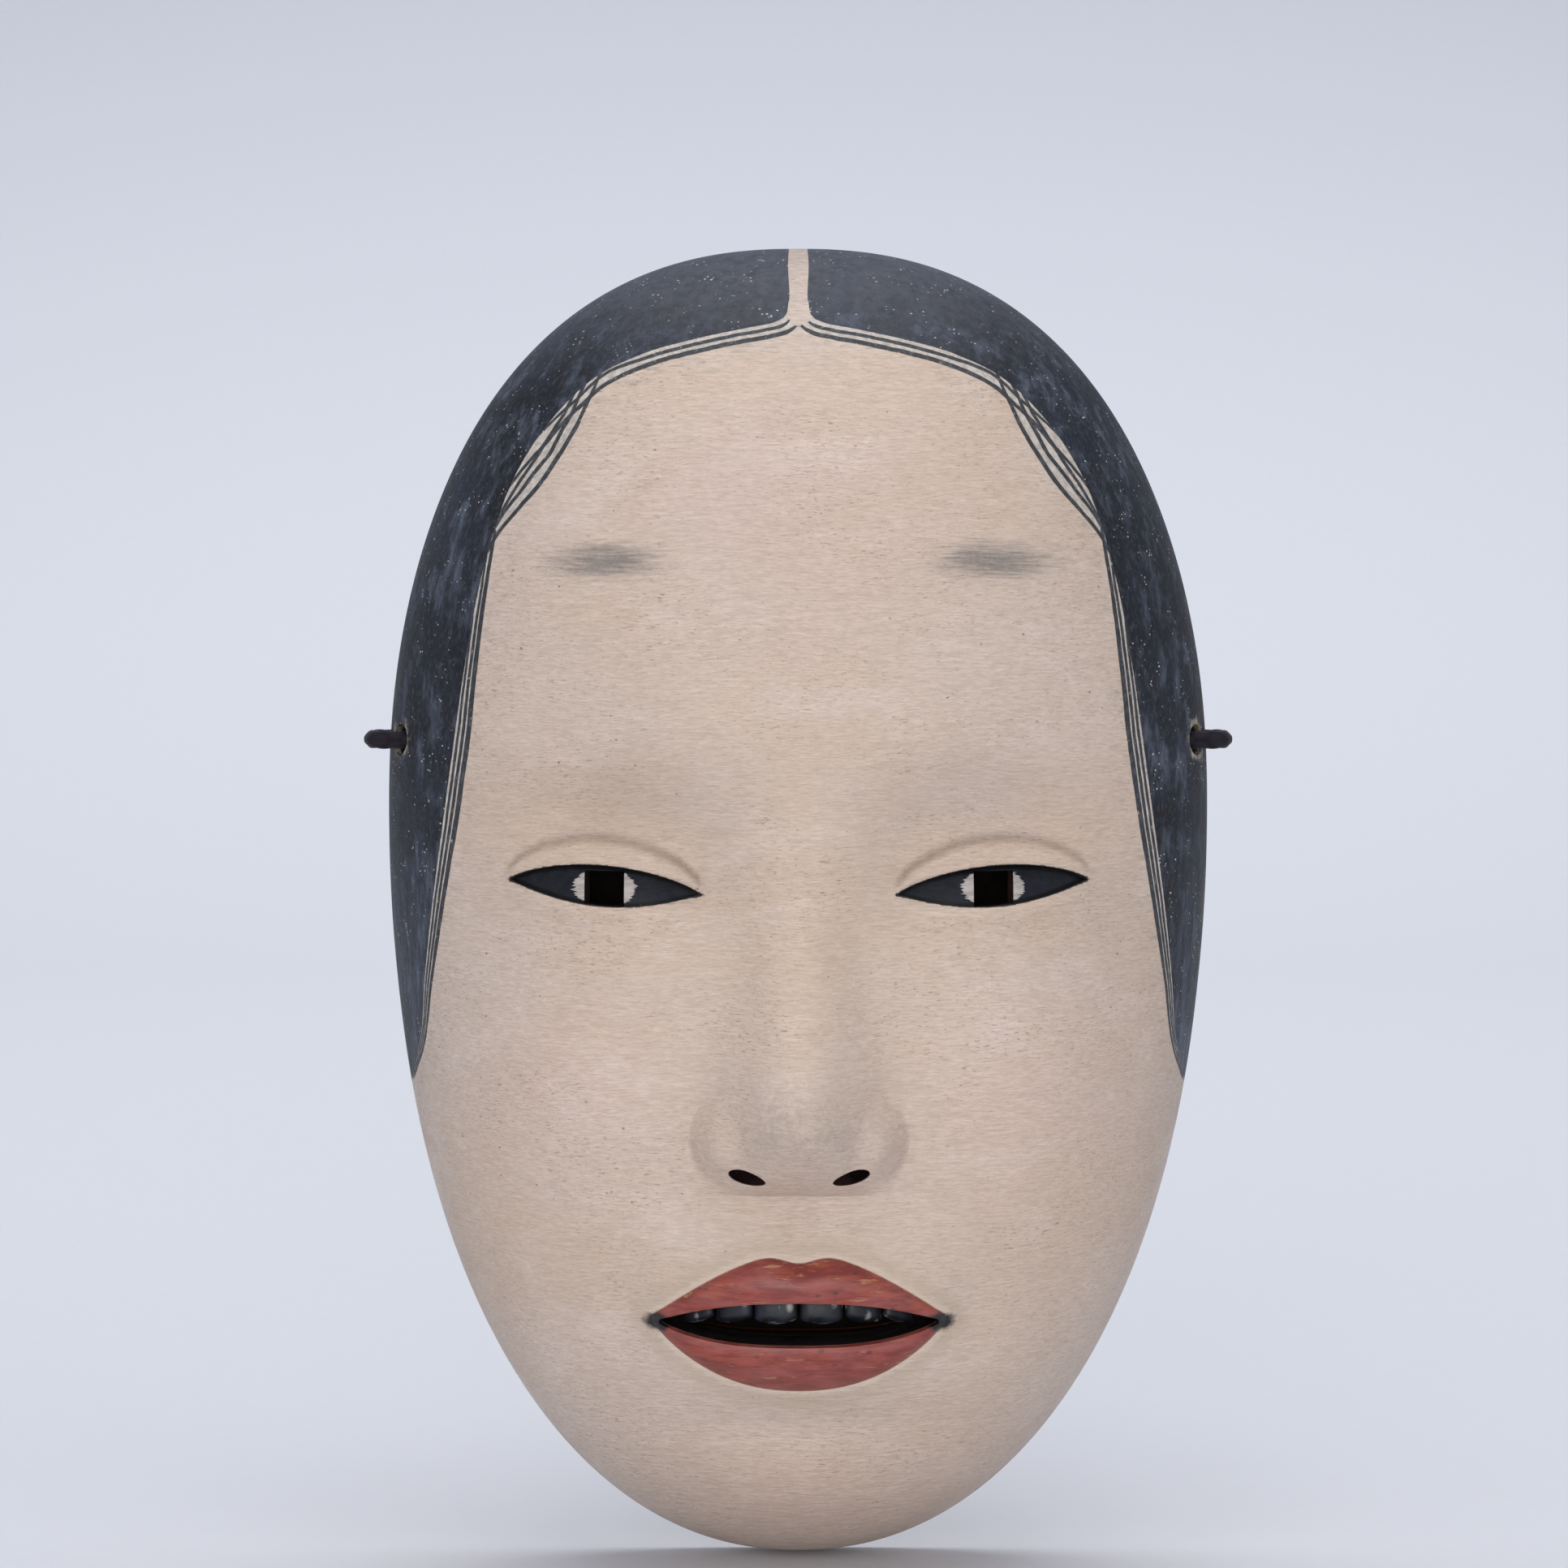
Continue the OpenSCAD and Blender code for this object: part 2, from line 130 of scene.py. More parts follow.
# ------------------------------------------------------------------ shape of the face
# The same rules as the carved solid: x across, z up from the chin, depth in front of the wall, all in mm.
A, BU, BD, ZC = 66.0, 94.0, 118.0, 118.0
BZ, BY, BORE_R = 133.0, 12.0, 2.5
RIM, COAT, LACQ = 7.0, 0.9, 0.5


def sm(a, b, x):
    u = np.clip((x - a) / (b - a), 0, 1)
    return u * u * (3 - 2 * u)


def g(q):
    return np.exp(-q * q)


def g2(u, v):
    return np.exp(-u * u - v * v)


def rim_r(t):
    st, ct = np.sin(t), np.cos(t)
    w = sm(-.5, .5, st)
    b = BD + (BU - BD) * w
    n = 2.15 + .2 * w
    return (np.abs(ct / A) ** n + np.abs(st / b) ** n) ** (-1 / n)


def setback(z):
    u = (z - BZ) / 45
    return np.where(np.abs(u) < 1, 4.2 * (1 - u * u) ** 2, 0)


def dm(t):
    return 2.3 + 1.1 * sm(.3, 1, -np.sin(t)) + .4 * sm(.3, 1, np.sin(t))


def dk(t):
    return 1.6 + .3 * sm(.3, 1, -np.sin(t)) + .2 * sm(.3, 1, np.sin(t))


def dh(z):
    return 45 + 6 * sm(0, 1, (110 - z) / 55)


def smax(a, b, k):
    h = np.clip(.5 + .5 * (a - b) / k, 0, 1)
    return a * h + b * (1 - h) + k * h * (1 - h)


def nose(x, z):
    ax = np.abs(x)
    u = np.clip((124 - z) / 48, 0, 1)
    H = np.where(z > 76, 16.6 * u ** 1.42, 16.6 * np.clip(1 - ((76 - z) / 11.6) ** 2, 0, 1) ** .72)
    W = 6.6 + 5.2 * u ** 1.5
    n = H * np.exp(-(ax / W) ** 2.25) + 2.0 * g2(x / 7.5, (z - 77) / 7) * np.clip((z - 66) / 6, 0, 1)
    q = np.sqrt(((ax - 10.2) / 6.0) ** 2 + ((z - 72.6) / (6.4 + 0.8 * sm(71.6, 73.6, z))) ** 2)
    wing = np.where(q < 1, 8.6 * (1 - np.clip(q, 0, 1) ** 2.6) ** 1.15, 0)
    groove = -0.9 * np.exp(-((q - 1.12) / .13) ** 2) * sm(9, 13, ax) * sm(64, 70, z)
    return smax(n, wing, 3.0) - 0.75 * np.exp(-((n + wing) / 2.2) ** 2) + groove


def relief(x, z):
    ax = np.abs(x)
    r = 2.0 * g2(x / 45, (z - 165) / 35)
    r = r - 3.4 * g2((ax - 27) / 15, (z - 120.5) / 8.5)
    r = r - 1.6 * g2((ax - 15.5) / 6, (z - 112) / 7)
    r = r + 3.2 * g2((ax - 30) / 14, (z - 110.5) / 7.5)
    r = r + 2.4 * g2((ax - 37) / 18, (z - 80) / 20)
    r = r + 4.0 * g2(x / 26, (z - 46) / 18)
    r = r - 1.1 * g2(x / 2.4, (z - 60.5) / 5.5)
    r = r - 2.4 * g2(x / 17, (z - 28) / 5)
    r = r + 5.0 * g2(x / 16, (z - 13.5) / 10)
    r = r - 1.6 * g2((ax - 26.5) / 4.5, (z - 44) / 7)
    return r


EYE_X, EYE_HW = 30.0, 14.8


def eye_base(u):
    return 110.3 + .9 * u + .7 * u * u


def eye_top(u):
    return eye_base(u) + 4.2 * np.clip(1 - u * u, 0, 1) ** .8


def eye_low(u):
    return eye_base(u) - 2.0 * np.clip(1 - u * u, 0, 1)


def lip_top(x):
    return 44.6 + 11.5 * np.clip(1 - (np.abs(x) / 23.5) ** 1.7, 0, 1) ** 1.05 - 1.9 * np.exp(-(x / 3.4) ** 2)


def lip_low(x):
    return 44.2 - 11 * np.clip(1 - (np.abs(x) / 22.5) ** 2.2, 0, 1) ** .9


def slot_top(x):
    return 44.6 + 3.6 * np.clip(1 - (np.abs(x) / 21.5) ** 2.4, 0, 1)


def slot_low(x):
    return 44.0 - 3.0 * np.clip(1 - (np.abs(x) / 21.5) ** 3, 0, 1)


def lips(x, z):
    zt, zl, st, sl = lip_top(x), lip_low(x), slot_top(x), slot_low(x)
    fx = np.clip(1 - (np.abs(x) / 22.5) ** 2, 0, 1)
    v = (z - st) / np.maximum(zt - st, .3)
    up = 2.7 * np.sin(pi * np.clip(.22 + .78 * np.clip(v, 0, 1), 0, 1)) ** .75
    v2 = (sl - z) / np.maximum(sl - zl, .3)
    lo = 3.1 * np.sin(pi * np.clip(.22 + .78 * np.clip(v2, 0, 1), 0, 1)) ** .8
    h = np.where(z > .5 * (st + sl), up, lo)
    h = np.where((v > 1) | (v2 > 1), 0, h)
    return h * fx ** .6


def lid(x, z):
    ax = np.abs(x)
    xi = (ax - EYE_X) / (EYE_HW + 1.5)
    ok = np.clip(1 - xi ** 2, 0, 1)
    uu = np.clip((ax - EYE_X) / EYE_HW, -1, 1)
    e = z - eye_top(uu)
    c = 3.9 * np.sqrt(ok) + .4
    band = 1.15 * sm(0, .35, ok) * np.exp(-((e - c * .45) / (c * .42 + .3)) ** 4)
    crease = -.55 * sm(0, .3, ok) * np.exp(-((e - c) / .55) ** 2)
    lo = eye_low(uu) - z
    low = .5 * sm(0, .35, ok) * np.exp(-((lo - 1.6) / 1.3) ** 2)
    inr = (np.abs(ax - EYE_X) < EYE_HW + .6)
    roll = -.32 * inr * (np.exp(-(np.maximum(e, 0) / .42) ** 1.5) * (e > -.05) + np.exp(-(np.maximum(lo, 0) / .38) ** 1.5) * (lo > -.05))
    return band + crease + low + roll * sm(0, .12, ok)


def depth(x, z, det=True):
    t = np.arctan2(z - ZC, x)
    r = np.hypot(x, z - ZC)
    s = np.minimum(1, r / rim_r(t))
    d = dh(z) * np.clip(1 - s ** dm(t), 0, 1) ** (1 / dk(t)) + setback(z) * s ** 8
    f = relief(x, z) + nose(x, z)
    if det:
        f = f + lips(x, z) + lid(x, z)
    return d + f * (1 - s ** 6)


# Unrolled domain: distances in it stay close to distances on the surface, also near the rim.
def to_dom(x, z, inset=0.0):
    t = np.arctan2(z - ZC, x)
    R = rim_r(t) - inset
    s = np.clip(np.hypot(x, z - ZC) / R, 0, 1)
    q = R * np.arcsin(s)
    return np.stack([q * np.cos(t), q * np.sin(t)], -1)


def from_dom(PQ, inset=0.0):
    P, Q = PQ[..., 0], PQ[..., 1]
    t = np.arctan2(Q, P)
    R = rim_r(t) - inset
    w = np.minimum(np.hypot(P, Q) / R, pi / 2)
    s = np.sin(w)
    return R * s * np.cos(t), ZC + R * s * np.sin(t), t, s


def front(PQ, det=True):
    x, z, t, s = from_dom(PQ)
    return np.stack([x, -depth(x, z, det), z], -1)


def hollow(PQ):
    x, z, t, s = from_dom(PQ, RIM)
    d = (dh(z) - 8.5) * np.clip(1 - s ** dm(t), 0, 1) ** (1 / dk(t)) + setback(z) * s ** 8
    d = d + (6.5 * g2(x / 9, (z - 76) / 13) + 2.6 * g2((np.abs(x) - 30) / 10, (z - 111) / 8)) * (1 - s ** 6)
    return np.stack([x, -d, z], -1)


def normals(fn, PQ, h=.06):
    """Normals towards the face's front (-Y), from neighbouring points."""
    ex, ey = np.array([h, 0]), np.array([0, h])
    a = fn(PQ + ex) - fn(PQ - ex)
    b = fn(PQ + ey) - fn(PQ - ey)
    n = np.cross(a, b)
    n = n * np.where(n[..., 1:2] > 0, -1, 1)
    L = np.linalg.norm(n, axis=-1, keepdims=True)
    return n / np.maximum(L, 1e-9)


def to_m(p):
    """Design millimetres to frame metres."""
    return (p - np.array([0, 0, HOOK])) * MM


# ------------------------------------------------------------------ curves on the face
def spline(pts, step=.6):
    """Catmull-Rom through given points, sampled about every step."""
    p = np.asarray(pts, float)
    p = np.vstack([2 * p[0] - p[1], p, 2 * p[-1] - p[-2]])
    out = []
    for i in range(1, len(p) - 2):
        n = max(2, int(round(np.linalg.norm(p[i + 1] - p[i]) / step)))
        for k in range(n):
            u = k / n
            a, b, c, d = p[i - 1], p[i], p[i + 1], p[i + 2]
            out.append(.5 * ((2 * b) + (-a + c) * u + (2 * a - 5 * b + 4 * c - d) * u * u + (-a + 3 * b - 3 * c + d) * u ** 3))
    out.append(p[-2])
    return np.array(out)


PART_W = 1.5
HAIR_EDGE = [[2.3, 199.6], [4.4, 198.6], [9, 197.7], [16, 196.2], [24, 194.0], [32, 190.1],
             [39, 183.2], [44.3, 174.9], [47.8, 165.5], [50.2, 156], [52.4, 144], [54.2, 132],
             [56.1, 119], [58, 106], [59.3, 95], [60, 86]]
T_JAW = math.atan2(76.5 - ZC, 62.0)
T_TOP = math.atan2(93.95, PART_W)


def on_rim(t, inset=0.0):
    R = rim_r(np.asarray(t)) - inset
    return np.stack([R * np.cos(t), ZC + R * np.sin(t)], -1)


jaw = on_rim(T_JAW)
edge_xz = spline([[PART_W + .05, 202.6], [PART_W + .25, 200.7]] + HAIR_EDGE + [[.5 * (60.3 + jaw[0]), 80.5], list(jaw)], .55)
top = on_rim(T_TOP)
part_xz = np.stack([np.linspace(top[0], PART_W + .05, 16), np.linspace(top[1], 202.6, 16)], -1)
part_xz[1:, 0] += .12 * np.sin(np.linspace(0, 5, 15))
edge_xz[0] = part_xz[-1]
hair_line = np.vstack([part_xz[:-1], edge_xz])        # from the crown down to the jaw, +X side

# Rim samples, with the ends of the hair lines among them
rim_t = np.linspace(-pi, pi, 640, endpoint=False)
keep = np.ones(len(rim_t), bool)
for tt in (T_JAW, T_TOP, pi - T_JAW, pi - T_TOP):
    tt = (tt + pi) % (2 * pi) - pi
    keep &= np.abs((rim_t - tt + pi) % (2 * pi) - pi) > .004
rim_t = np.sort(np.concatenate([rim_t[keep], [(t + pi) % (2 * pi) - pi for t in (T_JAW, T_TOP, pi - T_JAW, pi - T_TOP)]]))
rim_dom = np.stack([rim_r(rim_t) * pi / 2 * np.cos(rim_t), rim_r(rim_t) * pi / 2 * np.sin(rim_t)], -1)
rim_in_dom = np.stack([(rim_r(rim_t) - RIM) * pi / 2 * np.cos(rim_t), (rim_r(rim_t) - RIM) * pi / 2 * np.sin(rim_t)], -1)


def mirror_xz(p):
    q = np.array(p, float)
    q[:, 0] *= -1
    return q


def almond():
    a = np.linspace(-1, 1, 61)
    a = np.sin(a * pi / 2) * .5 + a * .5
    up = np.stack([EYE_X + EYE_HW * a, eye_top(a)], -1)
    dn = np.stack([EYE_X + EYE_HW * a, eye_low(a)], -1)[::-1]
    return np.vstack([up, dn[1:-1]])


def pupil():
    hw, hh, cz = 3.1, 2.79, 110.9
    n = 9
    u = np.linspace(-1, 1, n)[:-1]
    return np.vstack([np.stack([EYE_X + hw * u, np.full(n - 1, cz + hh)], -1), np.stack([np.full(n - 1, EYE_X + hw), cz - hh * u], -1),
                      np.stack([EYE_X - hw * u, np.full(n - 1, cz - hh)], -1), np.stack([np.full(n - 1, EYE_X - hw), cz + hh * u], -1)])


def slot():
    a = np.linspace(-1, 1, 91)
    a = np.sin(a * pi / 2) * .6 + a * .4
    x = 21.5 * a
    up = np.stack([x, np.maximum(slot_top(x), 44.35)], -1)
    dn = np.stack([x, slot_low(x)], -1)[::-1]
    up[0, 1] = up[-1, 1] = 44.3
    return np.vstack([up, dn[1:-1]])


def lips_loop():
    a = np.linspace(-1, 1, 101)
    a = np.sin(a * pi / 2) * .6 + a * .4
    x = 22.6 * a
    up = np.stack([x, np.maximum(lip_top(x), 44.55)], -1)
    dn = np.stack([x, np.minimum(lip_low(x), 44.05)], -1)[::-1]
    up[0, 1] = up[-1, 1] = 44.3
    return np.vstack([up, dn[1:-1]])


def nostril():
    a = np.linspace(0, 2 * pi, 36, endpoint=False)
    u, v = 2.9 * np.cos(a), 1.15 * np.sin(a) * (1 + .15 * np.cos(a))
    c, s = math.cos(math.radians(14)), math.sin(math.radians(14))
    return np.stack([7.9 + u * c - v * s, 67.9 + u * s + v * c], -1)


def solve_x(y, z, fn_depth, lo=40.0, hi=67.3):
    """x at which the surface has the depth -y, on the +X side."""
    lo = np.full_like(z, lo)
    hi = np.full_like(z, hi)
    for _ in range(50):
        m = .5 * (lo + hi)
        d = fn_depth(m, z)
        lo = np.where(d > y, m, lo)
        hi = np.where(d > y, hi, m)
    return .5 * (lo + hi)


def hollow_depth(x, z):
    t = np.arctan2(z - ZC, x)
    s = np.clip(np.hypot(x, z - ZC) / (rim_r(t) - RIM), 0, 1)
    return (dh(z) - 8.5) * np.clip(1 - s ** dm(t), 0, 1) ** (1 / dk(t)) + setback(z) * s ** 8


def bore(inner=False, r=BORE_R):
    a = np.linspace(0, 2 * pi, 40, endpoint=False)
    y, z = BY + r * np.cos(a), BZ + r * np.sin(a)
    x = solve_x(y, z, hollow_depth, 35., 60.) if inner else solve_x(y, z, lambda X, Z: depth(X, Z, False), 40., 67.4)
    return np.stack([x, z], -1)


# ------------------------------------------------------------------ triangulation
def inside(poly, pts):
    """Points inside a closed polygon, even-odd."""
    lo, hi = poly.min(0), poly.max(0)
    cand = np.where((pts[:, 0] >= lo[0]) & (pts[:, 0] <= hi[0]) & (pts[:, 1] >= lo[1]) & (pts[:, 1] <= hi[1]))[0]
    res = np.zeros(len(pts), bool)
    if not len(cand):
        return res
    x, y = pts[cand, 0], pts[cand, 1]
    c = np.zeros(len(cand), bool)
    a, b = poly, np.roll(poly, -1, 0)
    for i in range(len(a)):
        (x0, y0), (x1, y1) = a[i], b[i]
        if y0 == y1:
            continue
        hit = ((y0 > y) != (y1 > y)) & (x < (x1 - x0) * (y - y0) / (y1 - y0) + x0)
        c ^= hit
    res[cand] = c
    return res


def field_points(h_of, h_max, levels, lo, hi):
    """Hexagonal points at a spacing that halves from level to level, each kept where its level is asked for."""
    out = []
    for L in range(levels):
        h = h_max / 2 ** L
        nx = int((hi[0] - lo[0]) / h) + 2
        ny = int((hi[1] - lo[1]) / (h * .866)) + 2
        j, i = np.meshgrid(np.arange(nx), np.arange(ny))
        pts = np.stack([lo[0] + (j + .5 * (i % 2)) * h, lo[1] + i * h * .866], -1).reshape(-1, 2)
        want = np.clip(np.round(np.log2(h_max / h_of(pts))), 0, levels - 1)
        out.append(pts[want == L])
    return np.vstack(out)


def triangulate(curves, h_of, h_max, levels, outline):
    """Constrained triangles over the outline. curves: list of (points, closed). Returns points and triangles."""
    lo, hi = outline.min(0), outline.max(0)
    cand = field_points(h_of, h_max, levels, lo, hi)
    cpts, cedges, index = [], [], {}

    def vid(p):
        k = (round(float(p[0]), 4), round(float(p[1]), 4))
        if k not in index:
            index[k] = len(cpts)
            cpts.append(k)
        return index[k]
    for pts, closed in curves:
        ids = [vid(p) for p in pts]
        n = len(ids)
        for i in range(n if closed else n - 1):
            a, b = ids[i], ids[(i + 1) % n]
            if a != b:
                cedges.append((a, b))
    C = np.array(cpts)
    # keep candidates inside the outline and clear of every curve
    cand = cand[inside(outline, cand)]
    h = h_of(cand)
    dens = []
    for a, b in cedges:
        L = np.linalg.norm(C[b] - C[a])
        if L > .5:
            for k in range(1, int(L / .5) + 1):
                dens.append(C[a] + (C[b] - C[a]) * k / (int(L / .5) + 1))
    ref = np.vstack([C, np.array(dens).reshape(-1, 2)])
    tree = kdtree.KDTree(len(ref))
    for i, p in enumerate(ref):
        tree.insert((p[0], p[1], 0), i)
    tree.balance()
    dist = np.array([tree.find((p[0], p[1], 0))[2] for p in cand])
    cand = cand[dist > .62 * h]
    allp = np.vstack([C, cand])
    vs, es, fs, ov, oe, of_ = delaunay_2d_cdt([Vector((float(p[0]), float(p[1]))) for p in allp], cedges, [], 0, 1e-6)
    V = np.array([(v.x, v.y) for v in vs])
    F = np.array([list(f) for f in fs], dtype=np.int64)
    a, b, c = V[F[:, 0]], V[F[:, 1]], V[F[:, 2]]
    area = (b[:, 0] - a[:, 0]) * (c[:, 1] - a[:, 1]) - (b[:, 1] - a[:, 1]) * (c[:, 0] - a[:, 0])
    F[area < 0] = F[area < 0][:, ::-1]
    cen = V[F].mean(1)
    ok = inside(outline, cen) & (np.abs(area) > 1e-7)
    return V, F[ok], cen[ok]


def compact(V, F):
    used = np.unique(F)
    m = -np.ones(len(V), dtype=np.int64)
    m[used] = np.arange(len(used))
    return used, m[F]


def boundary(F):
    """Directed edges that only one triangle has."""
    e = np.vstack([F[:, [0, 1]], F[:, [1, 2]], F[:, [2, 0]]])
    n = int(F.max()) + 1
    k = e[:, 0] * n + e[:, 1]
    r = e[:, 1] * n + e[:, 0]
    return e[~np.isin(k, r)]


def two_sided(name, F, top, bot, mats, wall_mat=0, flip=False, side_mat=None):
    """Closed piece: F over the points top, the same over bot, and a wall along the open edges."""
    n = len(top)
    e = boundary(F)
    T = F if not flip else F[:, ::-1]
    faces = [T, (F[:, ::-1] if not flip else F) + n]
    wall = np.stack([e[:, 1], e[:, 0], e[:, 0] + n, e[:, 1] + n], -1)
    if flip:
        wall = wall[:, ::-1]
    w1, w2 = wall[:, [0, 1, 2]], wall[:, [0, 2, 3]]
    tris = np.vstack(faces + [w1, w2])
    midx = np.concatenate([np.zeros(len(F)), np.zeros(len(F)), np.full(len(w1) * 2, wall_mat)]).astype(np.int32)
    sharp = np.vstack([e, e + n])
    return new_mesh(name, to_m(np.vstack([top, bot])), tris, mats, midx, True, sharp)


# ------------------------------------------------------------------ the front, triangulated once
def dome(PQ):
    x, z, t, s = from_dom(PQ)
    d = dh(z) * np.clip(1 - s ** dm(t), 0, 1) ** (1 / dk(t)) + setback(z) * s ** 8
    return np.stack([x, -d, z], -1)


def h_front(PQ):
    x, z, t, s = from_dom(PQ)
    ax = np.abs(x)
    h = np.full(len(x), 1.6)
    mid = (((ax - 30) / 22) ** 2 + ((z - 113) / 12) ** 2 < 1) | ((x / 15) ** 2 + ((z - 92) / 32) ** 2 < 1) | (np.hypot(ax - 65, z - BZ) < 6)
    ex = np.interp(z, [60, 86, 106, 132, 156, 174, 182, 189, 196, 199, 205], [60.3, 60, 58, 54.2, 50.2, 44.3, 39, 32, 16, 4, 3])
    mid |= (np.abs(ax - ex + 2) < 5.5) & (z > 72)
    mid |= ((x / 32) ** 2 + ((z - 44) / 20) ** 2 < 1) | (ax < 4) & (z > 190)
    h[mid] = .8
    fine = ((x / 26) ** 2 + ((z - 44) / 14.5) ** 2 < 1) | ((x / 18) ** 2 + ((z - 72.5) / 10) ** 2 < 1) | (((ax - 30) / 18) ** 2 + ((z - 112) / 7) ** 2 < 1)
    h[fine] = .4
    return h


def loops_dom(p, inset=0.0):
    return to_dom(p[:, 0], p[:, 1], inset)


def both_sides(p):
    return [p, mirror_xz(p)]


def shrink(dom, d):
    L = np.linalg.norm(dom, axis=1, keepdims=True)
    return dom * (1 - d / L)


eye_l, pup_l, nos_l, bore_l, bore_in_l = almond(), pupil(), nostril(), bore(), bore(True)
hair_l = hair_line
lips_p, slot_p = lips_loop(), slot()
corner = np.array([[21.5, 44.3], [22.05, 44.3], [22.6, 44.3]])
curves = [(rim_dom, True), (shrink(rim_dom, .45), True), (shrink(rim_dom, 1.3), True)]
for p in both_sides(hair_l):
    curves.append((loops_dom(p), False))
for q in (eye_l, nos_l, bore_l):
    for p in both_sides(q):
        curves.append((loops_dom(p), True))
for p in (lips_p, slot_p):
    curves.append((loops_dom(p), True))
for p in both_sides(corner):
    curves.append((loops_dom(p), False))
V, F, CEN = triangulate(curves, h_front, 1.6, 3, rim_dom)


def region(p, cen=CEN, inset=0.0):
    return inside(loops_dom(p, inset), cen)


def hair_polygon(side):
    tj, tt = T_JAW, T_TOP
    ts = rim_t[(rim_t > tj + 1e-6) & (rim_t < tt - 1e-6)]
    rim_part = np.stack([rim_r(ts) * pi / 2 * np.cos(ts), rim_r(ts) * pi / 2 * np.sin(ts)], -1)
    poly = np.vstack([loops_dom(hair_l), rim_part])
    if side < 0:
        poly = poly * np.array([-1, 1])
    return poly


in_hair_l, in_hair_r = inside(hair_polygon(1), CEN), inside(hair_polygon(-1), CEN)
in_lips, in_slot = region(lips_p), region(slot_p)
in_eye = region(eye_l) | region(mirror_xz(eye_l))
in_nos = region(nos_l) | region(mirror_xz(nos_l))
in_bore = region(bore_l) | region(mirror_xz(bore_l))
cx, cz, _, _ = from_dom(CEN)
upper = cz > np.where(np.abs(cx) < 21.4, .5 * (slot_top(cx) + slot_low(cx)), 44.3)
hole = in_slot | in_eye | in_nos | in_bore
is_hl, is_hr = in_hair_l & ~hole, in_hair_r & ~hole
is_ul, is_ll = in_lips & ~hole & upper, in_lips & ~hole & ~upper
is_go = ~(hole | is_hl | is_hr | is_ul | is_ll)

P0 = front(V)
ND = normals(dome, V)
rim_dist = np.hypot(V[:, 0], V[:, 1])
rim_dist = rim_r(np.arctan2(V[:, 1], V[:, 0])) * pi / 2 - rim_dist
on_edge = rim_dist < 1e-3
ND[on_edge, 1] = 0
ND = ND / np.linalg.norm(ND, axis=1, keepdims=True)
OFF = COAT - .42 * (1 - np.clip(rim_dist / 1.3, 0, 1)) ** 2
OUTER = P0 + OFF[:, None] * ND
INNER = P0 + .02 * ND
vx, vz, vt, vs = from_dom(V)


# ------------------------------------------------------------------ painting guides, one value a vertex
def edge_frame(pts3, side_of, line3, arc):
    """Signed distance from a line on the surface and the arc length at the nearest place."""
    tree = kdtree.KDTree(len(line3))
    for i, p in enumerate(line3):
        tree.insert(p, i)
    tree.balance()
    d, s = np.full(len(pts3), 99.), np.zeros(len(pts3))
    for i, p in enumerate(pts3):
        co, k, dist = tree.find(p)
        if dist < 25:
            best, bs = dist, arc[k]
            for a, b in ((k - 1, k), (k, k + 1)):
                if a >= 0 and b < len(line3):
                    ab = line3[b] - line3[a]
                    u = min(1, max(0, float(np.dot(p - line3[a], ab) / np.dot(ab, ab))))
                    q = line3[a] + u * ab
                    e = float(np.linalg.norm(p - q))
                    if e < best:
                        best, bs = e, arc[a] + u * (arc[b] - arc[a])
            d[i], s[i] = best, bs
    return d * side_of, s


edge_dense = spline(edge_xz[::6], .25)
edge_dense = edge_dense[edge_dense[:, 1] < 200.2]
E3 = front(loops_dom(edge_dense), False)
E_ARC = np.concatenate([[0], np.cumsum(np.linalg.norm(np.diff(E3, axis=0), axis=1))])
E_LEN = float(E_ARC[-1])
mirror3 = np.array([-1, 1, 1])
Pn = front(V, False)
Pm = np.where(Pn[:, :1] < 0, Pn * mirror3, Pn)
poly_h = hair_polygon(1)
Vm = V * np.where(V[:, :1] < 0, np.array([[-1, 1]]), np.array([[1, 1]]))
is_in = inside(poly_h, Vm + 1e-7)
HE, HS = edge_frame(Pm, np.ones(len(Pm)), E3, E_ARC)


def along(points):
    """Given points (x, z) of one strand as (arc length, offset from the hair edge)."""
    p = np.asarray(points, float)
    q = front(loops_dom(p), False)
    ins = inside(poly_h, loops_dom(p))
    d, s = edge_frame(q, np.where(ins, -1, 1), E3, E_ARC)
    return s, d


def s_at(z):
    """Arc length of the hair edge at a height."""
    i = np.argmin(np.abs(edge_dense[:, 1] - z) + (edge_dense[:, 0] < 1) * 99)
    return float(E_ARC[i])


def smooth_interp(x, xp, fp, w=3.0):
    """Linear interpolation, softened over a width."""
    acc = 0
    for k, g_ in ((-1, .25), (-.5, .5), (0, .5), (.5, .5), (1, .25)):
        acc = acc + g_ * np.interp(x + k * w, xp, fp)
    return acc / 2.0


# ------------------------------------------------------------------ painted strands, as offsets from the hair edge
def strand(points, widths, lead=()):
    """(arc, offset, half width) of one strand; lead gives extra (arc, offset) places before the points."""
    s, d = along(points) if len(points) else (np.zeros(0), np.zeros(0))
    if len(lead):
        s = np.concatenate([[a for a, b in lead], s])
        d = np.concatenate([[b for a, b in lead], d])
    o = np.argsort(s)
    return s[o], d[o], 1.18 * np.asarray(widths, float)


def strand_z(rows, widths):
    return np.array([s_at(r[0]) for r in rows]), np.array([r[1] for r in rows], float), 1.08 * np.asarray(widths, float)


